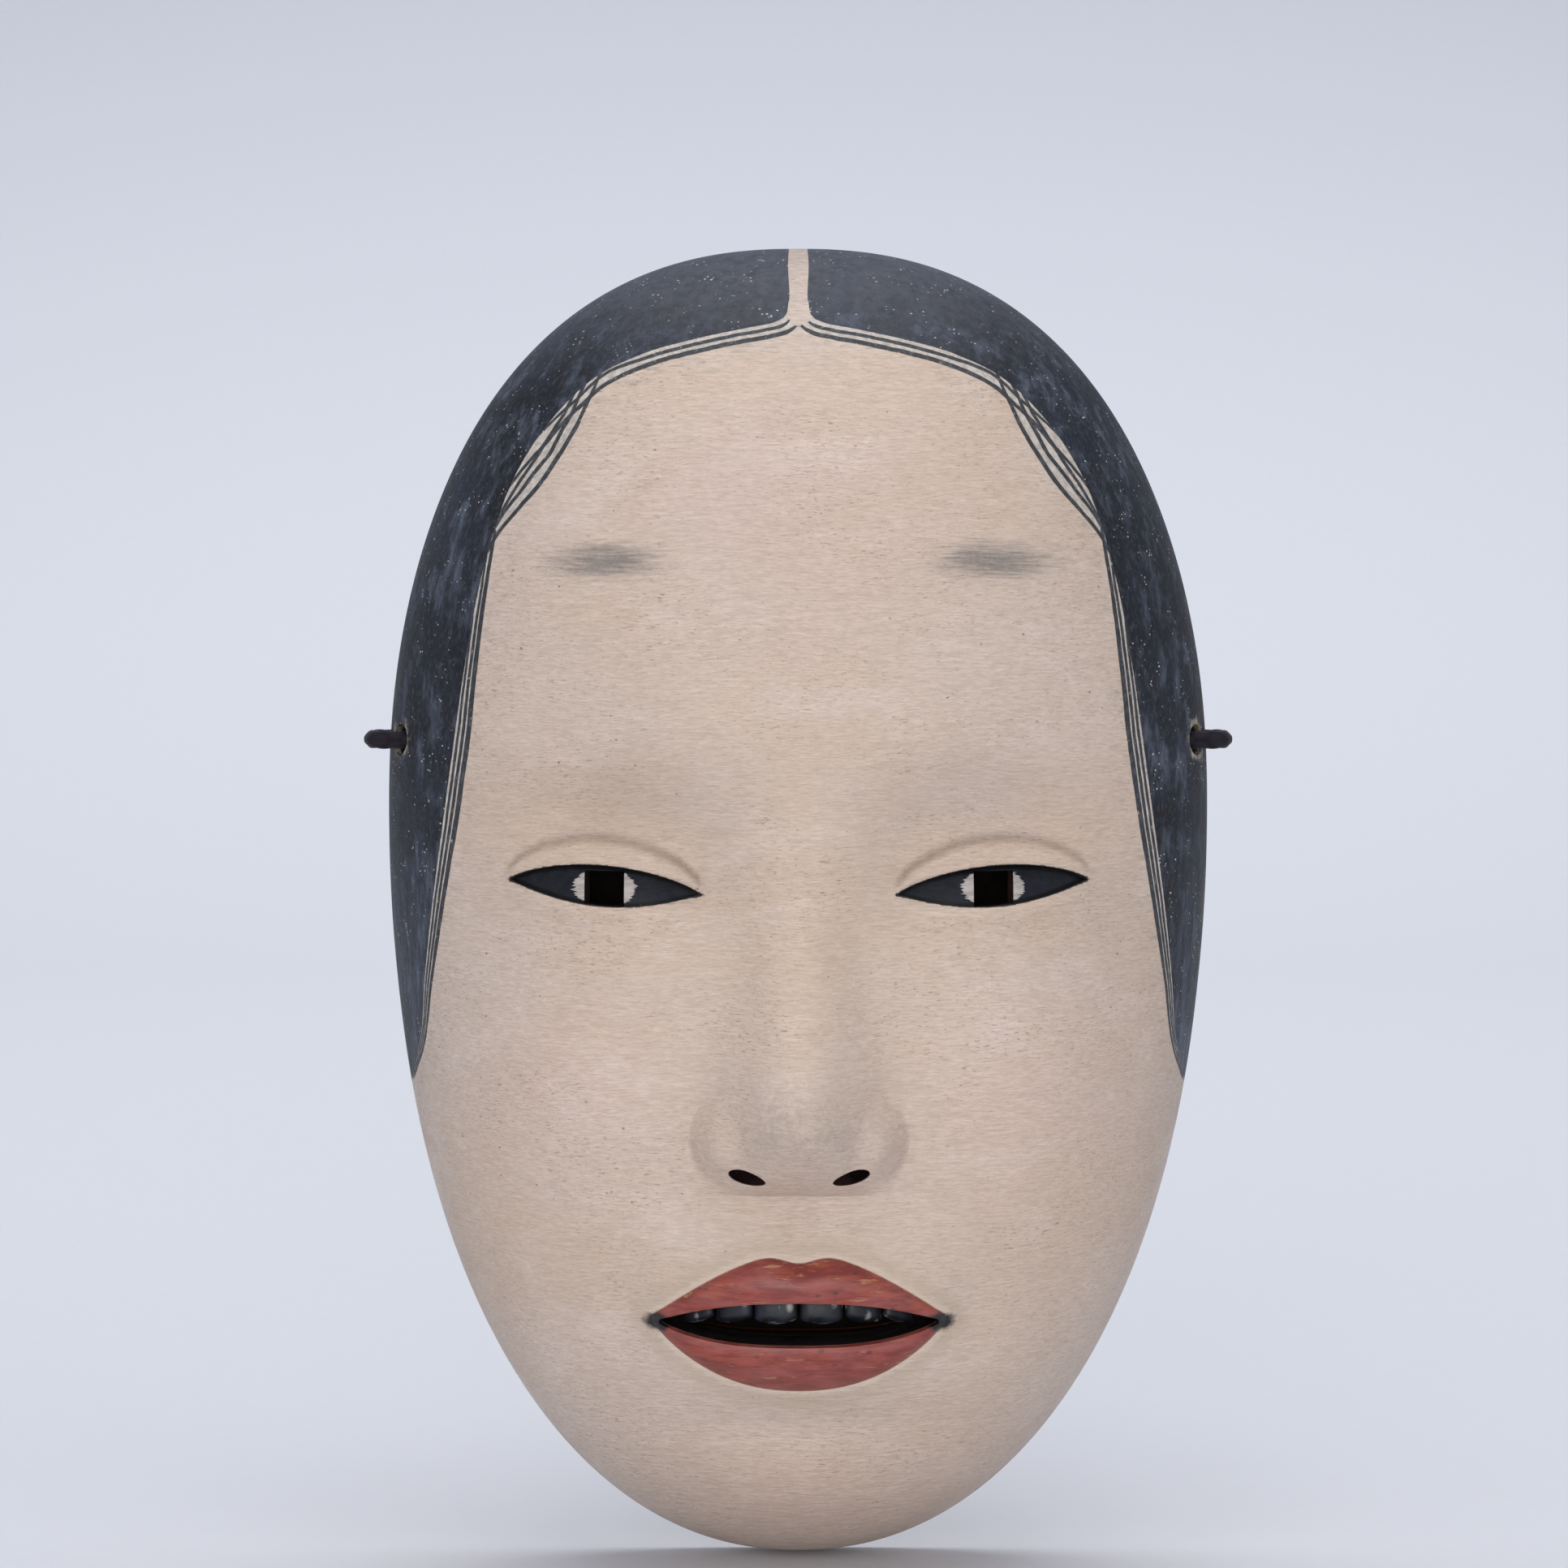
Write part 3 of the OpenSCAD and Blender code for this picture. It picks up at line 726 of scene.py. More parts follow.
STRANDS = [
    strand([[30.1, 190.9], [34.3, 187.0], [38.6, 183.2], [41.6, 180.2], [43.8, 177.4]], [.32, .34, .31, .24], [(1.2, 1.2), (8, 1.15), (16, 1.15), (22, 1.2)]),
    strand([[31.2, 188.3], [33.5, 186.1], [35.8, 184.0], [39.7, 179.5], [43.4, 175.5], [45.6, 172.6]], [.40, .42, .38, .30], [(1.4, 2.75), (8, 2.7), (16, 2.7), (22, 2.7)]),
    strand([[30.0, 193.2], [30.7, 191.4], [31.9, 188.2], [34.3, 182.8], [36.4, 179.2], [38.1, 176.6], [39.6, 174.2], [41.6, 171.8], [43.9, 169.3], [47, 165.8], [48.8, 162.6]], [.36, .40, .42, .38]),
    strand([[31.9, 192.4], [32.7, 190.4], [35.2, 184.7], [38.6, 178.2], [43.2, 172.4], [45.9, 169.2], [47.9, 166.0]], [.34, .38, .38, .34]),
    strand([[33.6, 191.3], [34.4, 189.0], [36.4, 184.7], [38.5, 181.4], [41.4, 176.8], [44.7, 172.0], [46.8, 168.4]], [.30, .35, .35, .30]),
    strand_z([[166.5, .3], [163, 1.0], [158, 1.6], [150, 2.25], [135, 3.1], [120, 3.05], [105, 2.65], [90, 2.1], [82, 1.4], [77, .6]], [.36, .46, .52, .52, .48, .38, .22]),
    strand_z([[163, -.1], [158, .65], [150, 1.15], [135, 1.9], [120, 1.85], [105, 1.6], [90, 1.2], [82, .8], [77, .3]], [.28, .31, .34, .34, .31, .28, .18]),
    strand_z([[153, -.1], [146, .42], [135, .82], [120, .80], [105, .70], [90, .52], [82, .3], [78, .05]], [.24, .29, .30, .30, .28, .24, .16]),
]
SD, SW = [], []
for s_, o_, w_ in STRANDS:
    off_ = smooth_interp(HS, s_, o_, 1.2)
    wid = np.interp(HS, np.linspace(s_[0], s_[-1], len(w_)), w_)
    endf = np.clip((HS - s_[0] + .4) / 1.2, 0, 1) * np.clip((s_[-1] + .4 - HS) / 1.2, 0, 1)
    SD.append(HE - off_)
    SW.append(np.where(endf > 0, wid * (.35 + .65 * endf), -3.0 * (1 - endf)))
SD.append(np.full(len(HE), 50.))
SW.append(np.full(len(HE), -3.))
ENV = np.zeros(len(HE))
for d_, w_ in zip(SD[:-1], SW[:-1]):
    ENV = np.maximum(ENV, np.where(w_ > 0, HE - d_ + w_, 0))
axv = np.abs(vx)
uv = (axv - EYE_X) / EYE_HW
ev = vz - eye_top(np.clip(uv, -1, 1))
lidc = 3.9 * np.sqrt(np.clip(1 - ((axv - EYE_X) / (EYE_HW + 1.5)) ** 2, 0, 1)) + .4


def ellip(a, b, cxx, czz):
    return np.exp(-((axv - cxx) / a) ** 2 - ((vz - czz) / b) ** 2)


lips_tree = kdtree.KDTree(len(lips_p) * 6)
kk = 0
for i in range(len(lips_p)):
    a_, b_ = lips_p[i], lips_p[(i + 1) % len(lips_p)]
    for j in range(6):
        q_ = a_ + (b_ - a_) * j / 6
        lips_tree.insert((q_[0], 0, q_[1]), kk)
        kk += 1
lips_tree.balance()
near = (axv < 32) & (vz > 22) & (vz < 66)
LIPD = np.full(len(V), 20.)
for i in np.where(near)[0]:
    LIPD[i] = lips_tree.find((vx[i], 0, vz[i]))[2]
LIPD *= np.where(inside(lips_p, np.stack([vx, vz], -1)), -1, 1)

BROW_Z = .5 * (110.9 + 212)
PAINT = {
    "he": HE, "hs": HS, "bt": ENV - HE, "rim": rim_dist, "lipd": LIPD,
    # shade: painted shade, grey darkening where shade falls in the hollows, under the nose and lip and towards the rim
    "shade": np.clip(.75 * ellip(17, 6.5, 28, 125.5) + .55 * ellip(7, 9, 13, 113) + .28 * ellip(12, 4, 0, 62) + .45 * ellip(18, 3, 0, 28.5)
                     + .9 * vs ** 14 + .35 * ellip(8, 3, 9, 68) + .25 * ellip(6, 16, 47, 112), 0, 1.4),
    # crease: painted shade in the fold above each eye
    "crease": np.exp(-((ev - lidc) / .75) ** 2) * sm(0, .35, np.clip(1 - ((axv - EYE_X) / (EYE_HW + 1.5)) ** 2, 0, 1)) * (np.abs(axv - EYE_X) < EYE_HW + 1.5),
    "pink": np.clip(.8 * ellip(30, 16, 0, 172) + .7 * ellip(15, 14, 36, 78) + .5 * ellip(14, 9, 0, 16) + .4 * ellip(9, 5, 0, 150), 0, 1.2),
    "ochre": np.clip(.7 * ellip(16, 4, 30, 116.5) + .5 * ellip(16, 5, 30, 103.5) + .6 * ellip(5, 24, 0, 98) + .5 * ellip(24, 10, 0, 140)
                     + .6 * ellip(20, 6, 20, 190) + .45 * ellip(12, 20, 48, 60), 0, 1.2),
    "tip": np.clip(ellip(8, 6, 0, 76), 0, 1),
    "brow": np.exp(-np.abs((axv - EYE_X) / 10.0) ** 2.4 - ((vz - BROW_Z) / 3.0) ** 2),
    "corner": np.exp(-(np.maximum(axv - 21.5, (21.5 - axv) * 1.4) / 2.5) ** 2 - ((vz - 44.25) / 1.5) ** 2),
    "eyeline": np.exp(-np.clip(np.maximum(ev, eye_low(np.clip(uv, -1, 1)) - vz), 0, 9) / .18) * (np.abs(uv) < 1.0)
               + np.exp(-((axv - EYE_X - EYE_HW * np.sign(axv - EYE_X)) / 1.3) ** 2 - ((vz - eye_base(np.sign(axv - EYE_X) * 1.0)) / .5) ** 2) * .8,
}


def paint(ob, ids, names, twice=True):
    for nme in names:
        v_ = PAINT[nme][ids]
        add_attr(ob, nme, np.concatenate([v_, v_]) if twice else v_)


def paint_strands(ob, ids):
    for k in range(3):
        d_ = np.stack([SD[3 * k + j][ids] for j in range(3)], -1)
        w_ = np.stack([SW[3 * k + j][ids] for j in range(3)], -1)
        add_vattr(ob, "sd%d" % k, np.vstack([d_, d_]))
        add_vattr(ob, "sw%d" % k, np.vstack([w_, w_]))


# ------------------------------------------------------------------ materials
class Mat:
    """Small writer of shader nodes."""

    def __init__(self, name):
        self.m = bpy.data.materials.new(name)
        self.m.use_nodes = True
        self.nt = self.m.node_tree
        self.nt.nodes.clear()
        self.out = self.nt.nodes.new("ShaderNodeOutputMaterial")
        self.bsdf = self.nt.nodes.new("ShaderNodeBsdfPrincipled")
        self.nt.links.new(self.bsdf.outputs[0], self.out.inputs[0])

    def put(self, sock, v):
        if hasattr(v, "is_output") or isinstance(v, bpy.types.NodeSocket):
            self.nt.links.new(v, sock)
        elif isinstance(v, (tuple, list)) and sock.type == "RGBA" and len(v) == 3:
            sock.default_value = (*v, 1)
        else:
            sock.default_value = v

    def node(self, kind, out=0, **kw):
        n = self.nt.nodes.new("ShaderNode" + kind)
        ins = kw.pop("ins", {})
        for k, v in kw.items():
            setattr(n, k, v)
        for k, v in ins.items():
            self.put(n.inputs[k], v)
        return n.outputs[out]

    def obj(self):
        return self.node("TexCoord", 3)

    def attr(self, name, vec=False):
        return self.node("Attribute", 1 if vec else 2, attribute_type="GEOMETRY", attribute_name=name)

    def math(self, op, a, b=0.0, c=0.0, clamp=False):
        return self.node("Math", operation=op, use_clamp=clamp, ins={0: a, 1: b, 2: c})

    def vmath(self, op, a, b=(0, 0, 0)):
        return self.node("VectorMath", operation=op, ins={0: a, 1: b})

    def scale(self, v, s):
        return self.vmath("MULTIPLY", v, s)

    def noise(self, vec, scale=1.0, detail=4.0, rough=.55, dist=0.0, out=0):
        return self.node("TexNoise", out, ins={"Vector": vec, "Scale": scale, "Detail": detail, "Roughness": rough, "Distortion": dist})

    def vor(self, vec, scale=1.0, rnd=1.0, out=0, feature="F1"):
        return self.node("TexVoronoi", out, feature=feature, ins={"Vector": vec, "Scale": scale, "Randomness": rnd})

    def rng(self, v, a, b, c=0.0, d=1.0, smooth=True):
        return self.node("MapRange", interpolation_type="SMOOTHSTEP" if smooth else "LINEAR", ins={0: v, 1: a, 2: b, 3: c, 4: d})

    def mix(self, f, a, b, blend="MIX"):
        return self.node("Mix", 2, data_type="RGBA", blend_type=blend, clamp_factor=True, ins={0: f, 6: a, 7: b})

    def mixf(self, f, a, b):
        return self.node("Mix", 0, data_type="FLOAT", ins={0: f, 2: a, 3: b})

    def bump(self, h, dist, strength=1.0, normal=None):
        ins = {"Strength": strength, "Distance": dist, "Height": h}
        if normal is not None:
            ins["Normal"] = normal
        return self.node("Bump", ins=ins)

    def sep(self, v):
        n = self.nt.nodes.new("ShaderNodeSeparateXYZ")
        self.put(n.inputs[0], v)
        return n.outputs

    def done(self, color, rough, normal=None, **consts):
        b = self.bsdf.inputs
        self.put(b["Base Color"], color)
        self.put(b["Roughness"], rough)
        if normal is not None:
            self.put(b["Normal"], normal)
        for k, v in consts.items():
            b[k.replace("_", " ")].default_value = v
        return self.m


def strand_mask(M, co, soft=.07):
    """Mask of the painted strands, from the offsets kept in the mesh."""
    jit = M.noise(M.scale(co, (600, 600, 260)), 1.0, 3, .6, 0, 1)
    jit = M.vmath("MULTIPLY", M.vmath("SUBTRACT", jit, (.5, .5, .5)), (.34, .34, .34))
    total = None
    for k in range(3):
        d = M.vmath("ABSOLUTE", M.vmath("ADD", M.attr("sd%d" % k, True), jit))
        e = M.sep(M.vmath("SUBTRACT", M.attr("sw%d" % k, True), d))
        for j in range(3 if k < 2 else 2):
            m = M.rng(e[j], -soft, soft)
            total = m if total is None else M.math("MAXIMUM", total, m)
    return total


GOFUN = (.640, .500, .412)


def gofun_material():
    M = Mat("gofun")
    co = M.obj()
    # slow toning
    low = M.noise(M.scale(co, (22, 22, 30)), 1.0, 3, .5)
    mid = M.noise(M.scale(co, (70, 70, 130)), 1.0, 4, .6)
    col = M.mix(M.rng(low, .35, .68), (.636, .522, .446), (.622, .491, .398))
    col = M.mix(M.math("MULTIPLY", M.attr("pink"), .55), col, (.655, .490, .425))
    col = M.mix(M.math("MULTIPLY", M.math("MULTIPLY", M.attr("ochre"), M.rng(mid, .3, .7, .5, 1.0)), .75), col, (.640, .478, .352))
    pale = M.noise(M.scale(co, (45, 45, 85)), 1.0, 5, .62, .4)
    col = M.mix(M.rng(pale, .50, .72, 0, .55), col, (.700, .585, .520))
    # brushed streaks, mostly level, curving a little
    warp = M.noise(M.scale(co, (18, 18, 18)), 1.0, 2, .5)
    bend = M.node("CombineXYZ", ins={0: 0.0, 1: 0.0, 2: M.math("MULTIPLY", M.math("SUBTRACT", warp, .5), .0032)})
    cob = M.vmath("ADD", co, bend)
    fine = M.noise(M.scale(cob, (560, 560, 4600)), 1.0, 5, .68)
    wide = M.noise(M.scale(cob, (170, 170, 1700)), 1.0, 5, .70)
    col = M.mix(M.rng(fine, .34, .66, 0, 1), M.mix(1.0, col, (.850, .832, .815), "MULTIPLY"), M.mix(1.0, col, (1.05, 1.055, 1.06), "MULTIPLY"))
    col = M.mix(M.rng(wide, .32, .68, 0, 1), M.mix(1.0, col, (.945, .935, .92), "MULTIPLY"), M.mix(1.0, col, (1.03, 1.03, 1.035), "MULTIPLY"))
    # short dark dashes, denser in patches
    dash = M.noise(M.scale(cob, (950, 950, 4200)), 1.0, 2, .55)
    where = M.noise(M.scale(co, (55, 55, 75)), 1.0, 3, .6)
    dm_ = M.math("MULTIPLY", M.rng(dash, .585, .70), M.rng(where, .40, .64, .25, .95))
    col = M.mix(dm_, col, M.mix(1.0, col, (.60, .57, .545), "MULTIPLY"))
    # specks
    cell = M.node("TexVoronoi", 0, feature="F1", ins={"Vector": M.scale(co, (1, 1, 1.4)), "Scale": 520.0, "Randomness": 1.0})
    pick = M.noise(M.scale(co, (390, 390, 390)), 1.0, 2, .6)
    cell = M.math("ADD", cell, M.math("MULTIPLY", M.math("SUBTRACT", M.noise(co, 2600.0, 2, .6), .5), .16))
    spk = M.math("MULTIPLY", M.rng(cell, .08, .15, 1, 0), M.rng(pick, .60, .68))
    col = M.mix(M.math("MULTIPLY", spk, .75), col, (.19, .14, .11))
    # painted shade: grey darkening where shade falls, under the brows, beside and under the nose, under the lip, along
    # the rim
    sh = M.math("MULTIPLY", M.attr("shade"), M.rng(mid, .25, .75, .75, 1.15))
    col = M.mix(M.math("MULTIPLY", sh, .75, clamp=True), col, M.mix(1.0, col, (.74, .725, .72), "MULTIPLY"))
    # painted shade: bluish-grey darkening in the carved fold above each eye
    col = M.mix(M.math("MULTIPLY", M.attr("crease"), .75), col, M.mix(1.0, col, (.66, .655, .68), "MULTIPLY"))
    # round the lips: a pale rim, then a soft brown-green line
    lp = M.attr("lipd")
    lpn = M.math("ADD", lp, M.math("MULTIPLY", M.math("SUBTRACT", M.noise(co, 420.0, 3, .6), .5), .9))
    col = M.mix(M.rng(lpn, .25, .95, .45, 0), col, (.70, .58, .46))
    ring = M.math("MULTIPLY", M.rng(lpn, .7, 1.3), M.rng(lpn, 1.6, 4.4, 1, 0))
    col = M.mix(M.math("MULTIPLY", ring, .42), col, (.47, .375, .275))
    # nose tip: worn stipple
    st = M.noise(M.scale(co, (900, 900, 900)), 1.0, 3, .7)
    col = M.mix(M.math("MULTIPLY", M.attr("tip"), M.rng(st, .36, .70, .30, .80)), col, (.35, .285, .24))
    # marks of the brush beside the strands
    he = M.attr("he")
    tick = M.noise(M.scale(cob, (330, 330, 1500)), 1.0, 3, .6)
    tk = M.math("MULTIPLY", M.rng(tick, .53, .68), M.math("MULTIPLY", M.rng(he, 1.5, 3.5), M.rng(he, 3.5, 10.5, 1, 0)))
    col = M.mix(M.math("MULTIPLY", tk, .55), col, (.33, .285, .25))
    # smudged brows: grey, streaked along the brow
    br = M.noise(M.scale(cob, (170, 170, 2600)), 1.0, 5, .68)
    bg = M.noise(M.scale(co, (1500, 1500, 1500)), 1.0, 2, .6)
    bm = M.math("ADD", M.attr("brow"), M.math("MULTIPLY", M.math("SUBTRACT", br, .5), 1.7))
    bm = M.math("MULTIPLY", M.rng(bm, .12, 1.15), M.rng(bg, .25, .6, .8, 1))
    bm = M.math("MULTIPLY", bm, M.rng(M.attr("brow"), .04, .3))
    col = M.mix(M.math("MULTIPLY", bm, .80), col, (.115, .118, .112))
    # the ground shows paler between the strands
    between = M.math("MULTIPLY", M.rng(he, -.1, .15), M.rng(M.attr("bt"), 0, .35))
    gs = M.noise(M.scale(co, (900, 900, 900)), 1.0, 3, .7)
    col = M.mix(M.math("MULTIPLY", between, .72), col, M.mix(M.rng(gs, .36, .66), (.36, .335, .31), (.62, .575, .53)))
    ink = M.noise(M.scale(co, (1100, 1100, 700)), 1.0, 3, .7)
    inkc = M.mix(M.rng(ink, .45, .75), (.024, .027, .032), (.085, .09, .098))
    sm_ = strand_mask(M, co)
    worn = M.rng(M.noise(M.scale(co, (1500, 1500, 1100)), 1.0, 2, .6), .24, .36, .35, 1)
    col = M.mix(M.math("MULTIPLY", sm_, worn), col, inkc)
    # ragged edge of the hair and dark touches at the corners of eyes and mouth
    rag = M.noise(M.scale(co, (1300, 1300, 1300)), 1.0, 2, .6)
    col = M.mix(M.rng(M.math("ADD", he, M.math("MULTIPLY", rag, .28)), .14, .24, .9, 0), col, (.03, .034, .042))
    cor = M.math("ADD", M.attr("corner"), M.math("MULTIPLY", M.math("SUBTRACT", st, .5), .5))
    col = M.mix(M.rng(cor, .15, .70), col, (.006, .0055, .006))
    col = M.mix(M.rng(M.math("ADD", M.attr("eyeline"), M.math("MULTIPLY", M.math("SUBTRACT", rag, .5), .5)), .55, .85), col, (.03, .03, .034))
    # surface: low brush relief, satin with duller patches
    h = M.math("ADD", M.math("MULTIPLY", fine, .5), M.math("MULTIPLY", wide, .9))
    h = M.math("ADD", h, M.math("MULTIPLY", M.noise(co, 900.0, 3, .6), .25))
    h = M.math("SUBTRACT", h, M.math("MULTIPLY", spk, .5))
    nrm = M.bump(h, .00030, .85)
    nrm = M.bump(M.noise(co, 62.0, 4, .5), .0012, .22, nrm)
    rough = M.math("ADD", M.rng(mid, .3, .7, .40, .52), M.math("MULTIPLY", sm_, .12))
    return M.done(col, rough, nrm, Specular_IOR_Level=.42, Coat_Weight=.06, Coat_Roughness=.35)


def hair_material():
    M = Mat("hair_ink")
    co = M.obj()
    s = M.attr("hs")
    he = M.attr("he")
    low = M.noise(M.scale(co, (38, 38, 26)), 1.0, 5, .62, .3)
    st = M.noise(M.scale(co, (620, 620, 130)), 1.0, 4, .65)
    cl = M.noise(M.scale(co, (260, 260, 120)), 1.0, 4, .66)
    z = M.sep(co)[2]
    col = M.mix(M.rng(low, .36, .66), (.0085, .0092, .0120), (.0195, .0235, .0350))
    lower = M.rng(z, -.085, -.035, 1, 0)
    patch = M.math("MULTIPLY", M.rng(cl, .46, .66), M.rng(low, .34, .60, .35, 1))
    patch = M.math("MULTIPLY", M.math("ADD", patch, M.math("MULTIPLY", lower, M.rng(low, .36, .60, .25, .95))), M.rng(st, .36, .64, .25, 1))
    col = M.mix(M.math("MULTIPLY", patch, .9, clamp=True), col, (.098, .115, .158))
    # dull grain: lighter and darker flecks at random
    gr = M.noise(M.scale(co, (1400, 1400, 900)), 1.0, 3, .7)
    col = M.mix(M.rng(gr, .48, .74, 0, .5), col, (.072, .078, .092))
    col = M.mix(M.rng(gr, .30, .46, .55, 0), col, (.010, .010, .012))
    # painted highlight: the hair paint turns lighter towards the top, standing in for the sheen of the light from above
    up = M.rng(z, .028, .050)
    col = M.mix(M.math("MULTIPLY", up, M.rng(st, .25, .7, .40, .95)), col, (.072, .079, .103))
    # specks where the ground or old gold shows through
    cell = M.vor(M.scale(co, (1, 1, 1.3)), 1050.0)
    pick = M.noise(M.scale(co, (230, 230, 230)), 1.0, 3, .7)
    cell = M.math("ADD", cell, M.math("MULTIPLY", M.math("SUBTRACT", gr, .5), .50))
    spk = M.math("MULTIPLY", M.rng(cell, .10, .22, 1, 0), M.rng(pick, .49, .62))
    col = M.mix(spk, col, M.mix(M.rng(cl, .45, .55), (.48, .43, .34), (.54, .54, .54)))
    # worn ground round the cord hole
    x = M.math("ABSOLUTE", M.sep(co)[0])
    y = M.sep(co)[1]
    dd = M.math("SQRT", M.math("ADD", M.math("POWER", M.math("ADD", y, .012), 2.0), M.math("POWER", M.math("ADD", z, .027), 2.0)))
    wn = M.noise(M.scale(co, (480, 480, 480)), 1.0, 4, .7)
    far = M.rng(x, .050, .056)
    wm = M.math("MULTIPLY", M.rng(M.math("SUBTRACT", dd, M.math("MULTIPLY", wn, .0055)), -.0004, .0013, 1, 0), far)
    col = M.mix(M.math("MULTIPLY", wm, M.rng(wn, .42, .60, .10, .75)), col, M.mix(M.rng(gr, .4, .6), (.24, .20, .15), (.46, .40, .33)))
    # edge wear along the rim
    rimw = M.math("ADD", M.attr("rim"), M.math("MULTIPLY", wn, 2.2))
    col = M.mix(M.rng(rimw, 1.15, 1.5, .55, 0), col, (.30, .255, .20))
    nrm = M.bump(M.math("ADD", M.math("MULTIPLY", st, .6), gr), .00016, .6)
    nrm = M.bump(M.noise(co, 70.0, 4, .5), .0010, .25, nrm)
    return M.done(col, M.rng(cl, .3, .7, .46, .62), nrm, Specular_IOR_Level=.21)


def lips_material():
    M = Mat("lip_vermilion")
    co = M.obj()
    a = M.noise(M.scale(co, (110, 110, 320)), 1.0, 4, .6, .3)
    b = M.noise(M.scale(co, (200, 200, 900)), 1.0, 4, .65)
    c = M.noise(M.scale(co, (260, 260, 1500)), 1.0, 3, .6)
    col = M.mix(M.rng(a, .35, .65), (.262, .048, .036), (.268, .070, .062))
    col = M.mix(M.rng(b, .36, .66), M.mix(1.0, col, (.74, .66, .66), "MULTIPLY"), M.mix(1.0, col, (1.15, 1.18, 1.14), "MULTIPLY"))
    warmth = M.noise(M.scale(co, (150, 150, 700)), 1.0, 4, .65, .2)
    col = M.mix(M.rng(warmth, .52, .70, 0, .6), col, (.36, .085, .040))
    flake = M.math("MULTIPLY", M.rng(c, .60, .68), M.rng(M.noise(M.scale(co, (120, 120, 260)), 1.0, 2, .5), .42, .58))
    col = M.mix(M.math("MULTIPLY", flake, .7), col, (.50, .22, .12))
    pit = M.math("MULTIPLY", M.rng(M.vor(M.scale(co, (1, 1, 1.7)), 330.0), .10, .26, 1, 0), M.rng(M.noise(co, 240.0, 1, .5), .52, .58))
    col = M.mix(M.math("MULTIPLY", pit, .8), col, (.09, .035, .024))
    edge = M.math("ADD", M.attr("lipd"), M.math("MULTIPLY", M.noise(co, 1300.0, 2, .6), .3))
    col = M.mix(M.rng(edge, -.02, .12, 0, .8), col, (.44, .26, .19))
    rag = M.noise(M.scale(co, (700, 700, 700)), 1.0, 3, .7)
    cor = M.math("ADD", M.attr("corner"), M.math("MULTIPLY", M.math("SUBTRACT", rag, .5), .4))
    col = M.mix(M.rng(cor, .15, .60), col, (.006, .0055, .006))
    nrm = M.bump(M.math("ADD", b, M.math("MULTIPLY", flake, -.6)), .00020, .6)
    return M.done(col, M.rng(b, .3, .7, .36, .50), nrm, Specular_IOR_Level=.42, Coat_Weight=.08, Coat_Roughness=.3)


def eye_material():
    """Black lines along the lids, indigo field, brushed bare white on both sides of the pupil."""
    M = Mat("eye_paint")
    co = M.obj()
    ex, ez = M.attr("ex"), M.attr("ez")
    et, eb = M.attr("et"), M.attr("eb")
    n1 = M.noise(M.scale(co, (420, 420, 420)), 1.0, 3, .6)
    col = M.mix(M.rng(n1, .35, .65), (.0075, .0088, .0125), (.0130, .0155, .0225))
    # whites: from the pupil outwards, widest at mid height, with a bristly edge
    bristle = M.noise(M.scale(co, (120, 120, 3100)), 1.0, 4, .72)
    ax_ = M.math("ABSOLUTE", ex)
    arch = M.math("SUBTRACT", 1.0, M.math("POWER", M.math("DIVIDE", M.math("SUBTRACT", ez, .25), 2.35), 2.0))
    reach = M.math("ADD", 3.15, M.math("MULTIPLY", arch, 1.75))
    reach = M.math("ADD", reach, M.math("MULTIPLY", M.math("SUBTRACT", bristle, .5), 3.2))
    wm = M.rng(M.math("SUBTRACT", reach, ax_), -.06, .10)
    wm = M.math("MULTIPLY", wm, M.rng(arch, 0.02, .10))
    fib = M.noise(M.scale(co, (380, 380, 1900)), 1.0, 3, .6)
    white = M.mix(M.rng(fib, .35, .65), (.33, .295, .275), (.45, .41, .385))
    col = M.mix(wm, col, white)
    # black lines along both lids, and ragged spots of ground over the eye
    line = M.math("MINIMUM", et, M.math("MULTIPLY", eb, 1.25))
    wob = M.math("MULTIPLY", n1, .35)
    col = M.mix(M.rng(M.math("ADD", line, wob), .70, 1.10, 1, 0), col, (.0035, .0033, .0038))
    spk = M.math("MULTIPLY", M.rng(M.vor(co, 900.0), .06, .18, 1, 0), M.rng(M.noise(co, 300.0, 2, .6), .62, .70))
    col = M.mix(M.math("MULTIPLY", spk, .6), col, (.22, .20, .18))
    nrm = M.bump(M.math("ADD", fib, M.math("MULTIPLY", wm, .8)), .00012, .5)
    return M.done(col, M.mixf(wm, M.rng(n1, .3, .7, .42, .55), .5), nrm, Specular_IOR_Level=.17)


def teeth_material():
    M = Mat("tooth_lacquer")
    co = M.obj()
    a = M.noise(M.scale(co, (260, 260, 260)), 1.0, 4, .6)
    b = M.noise(M.scale(co, (900, 900, 1500)), 1.0, 3, .65)
    col = M.mix(M.rng(a, .38, .66), (.0100, .0110, .0155), (.0230, .0270, .0390))
    fl = M.math("MULTIPLY", M.rng(M.vor(M.scale(co, (1, 1, .7)), 420.0), .10, .36, 1, 0), M.rng(M.noise(co, 300.0, 3, .7), .47, .57))
    col = M.mix(M.math("MULTIPLY", fl, .85), col, (.42, .41, .39))
    edge = M.attr("tb")
    col = M.mix(M.math("MULTIPLY", M.rng(M.math("ADD", edge, M.math("MULTIPLY", b, .5)), .35, .68, 1, 0), M.rng(a, .38, .55)), col, (.36, .35, .34))
    nrm = M.bump(M.math("ADD", b, M.math("MULTIPLY", fl, .8)), .00014, .5)
    return M.done(col, M.rng(a, .3, .7, .38, .52), nrm, Specular_IOR_Level=.30, Coat_Weight=.08, Coat_Roughness=.30)


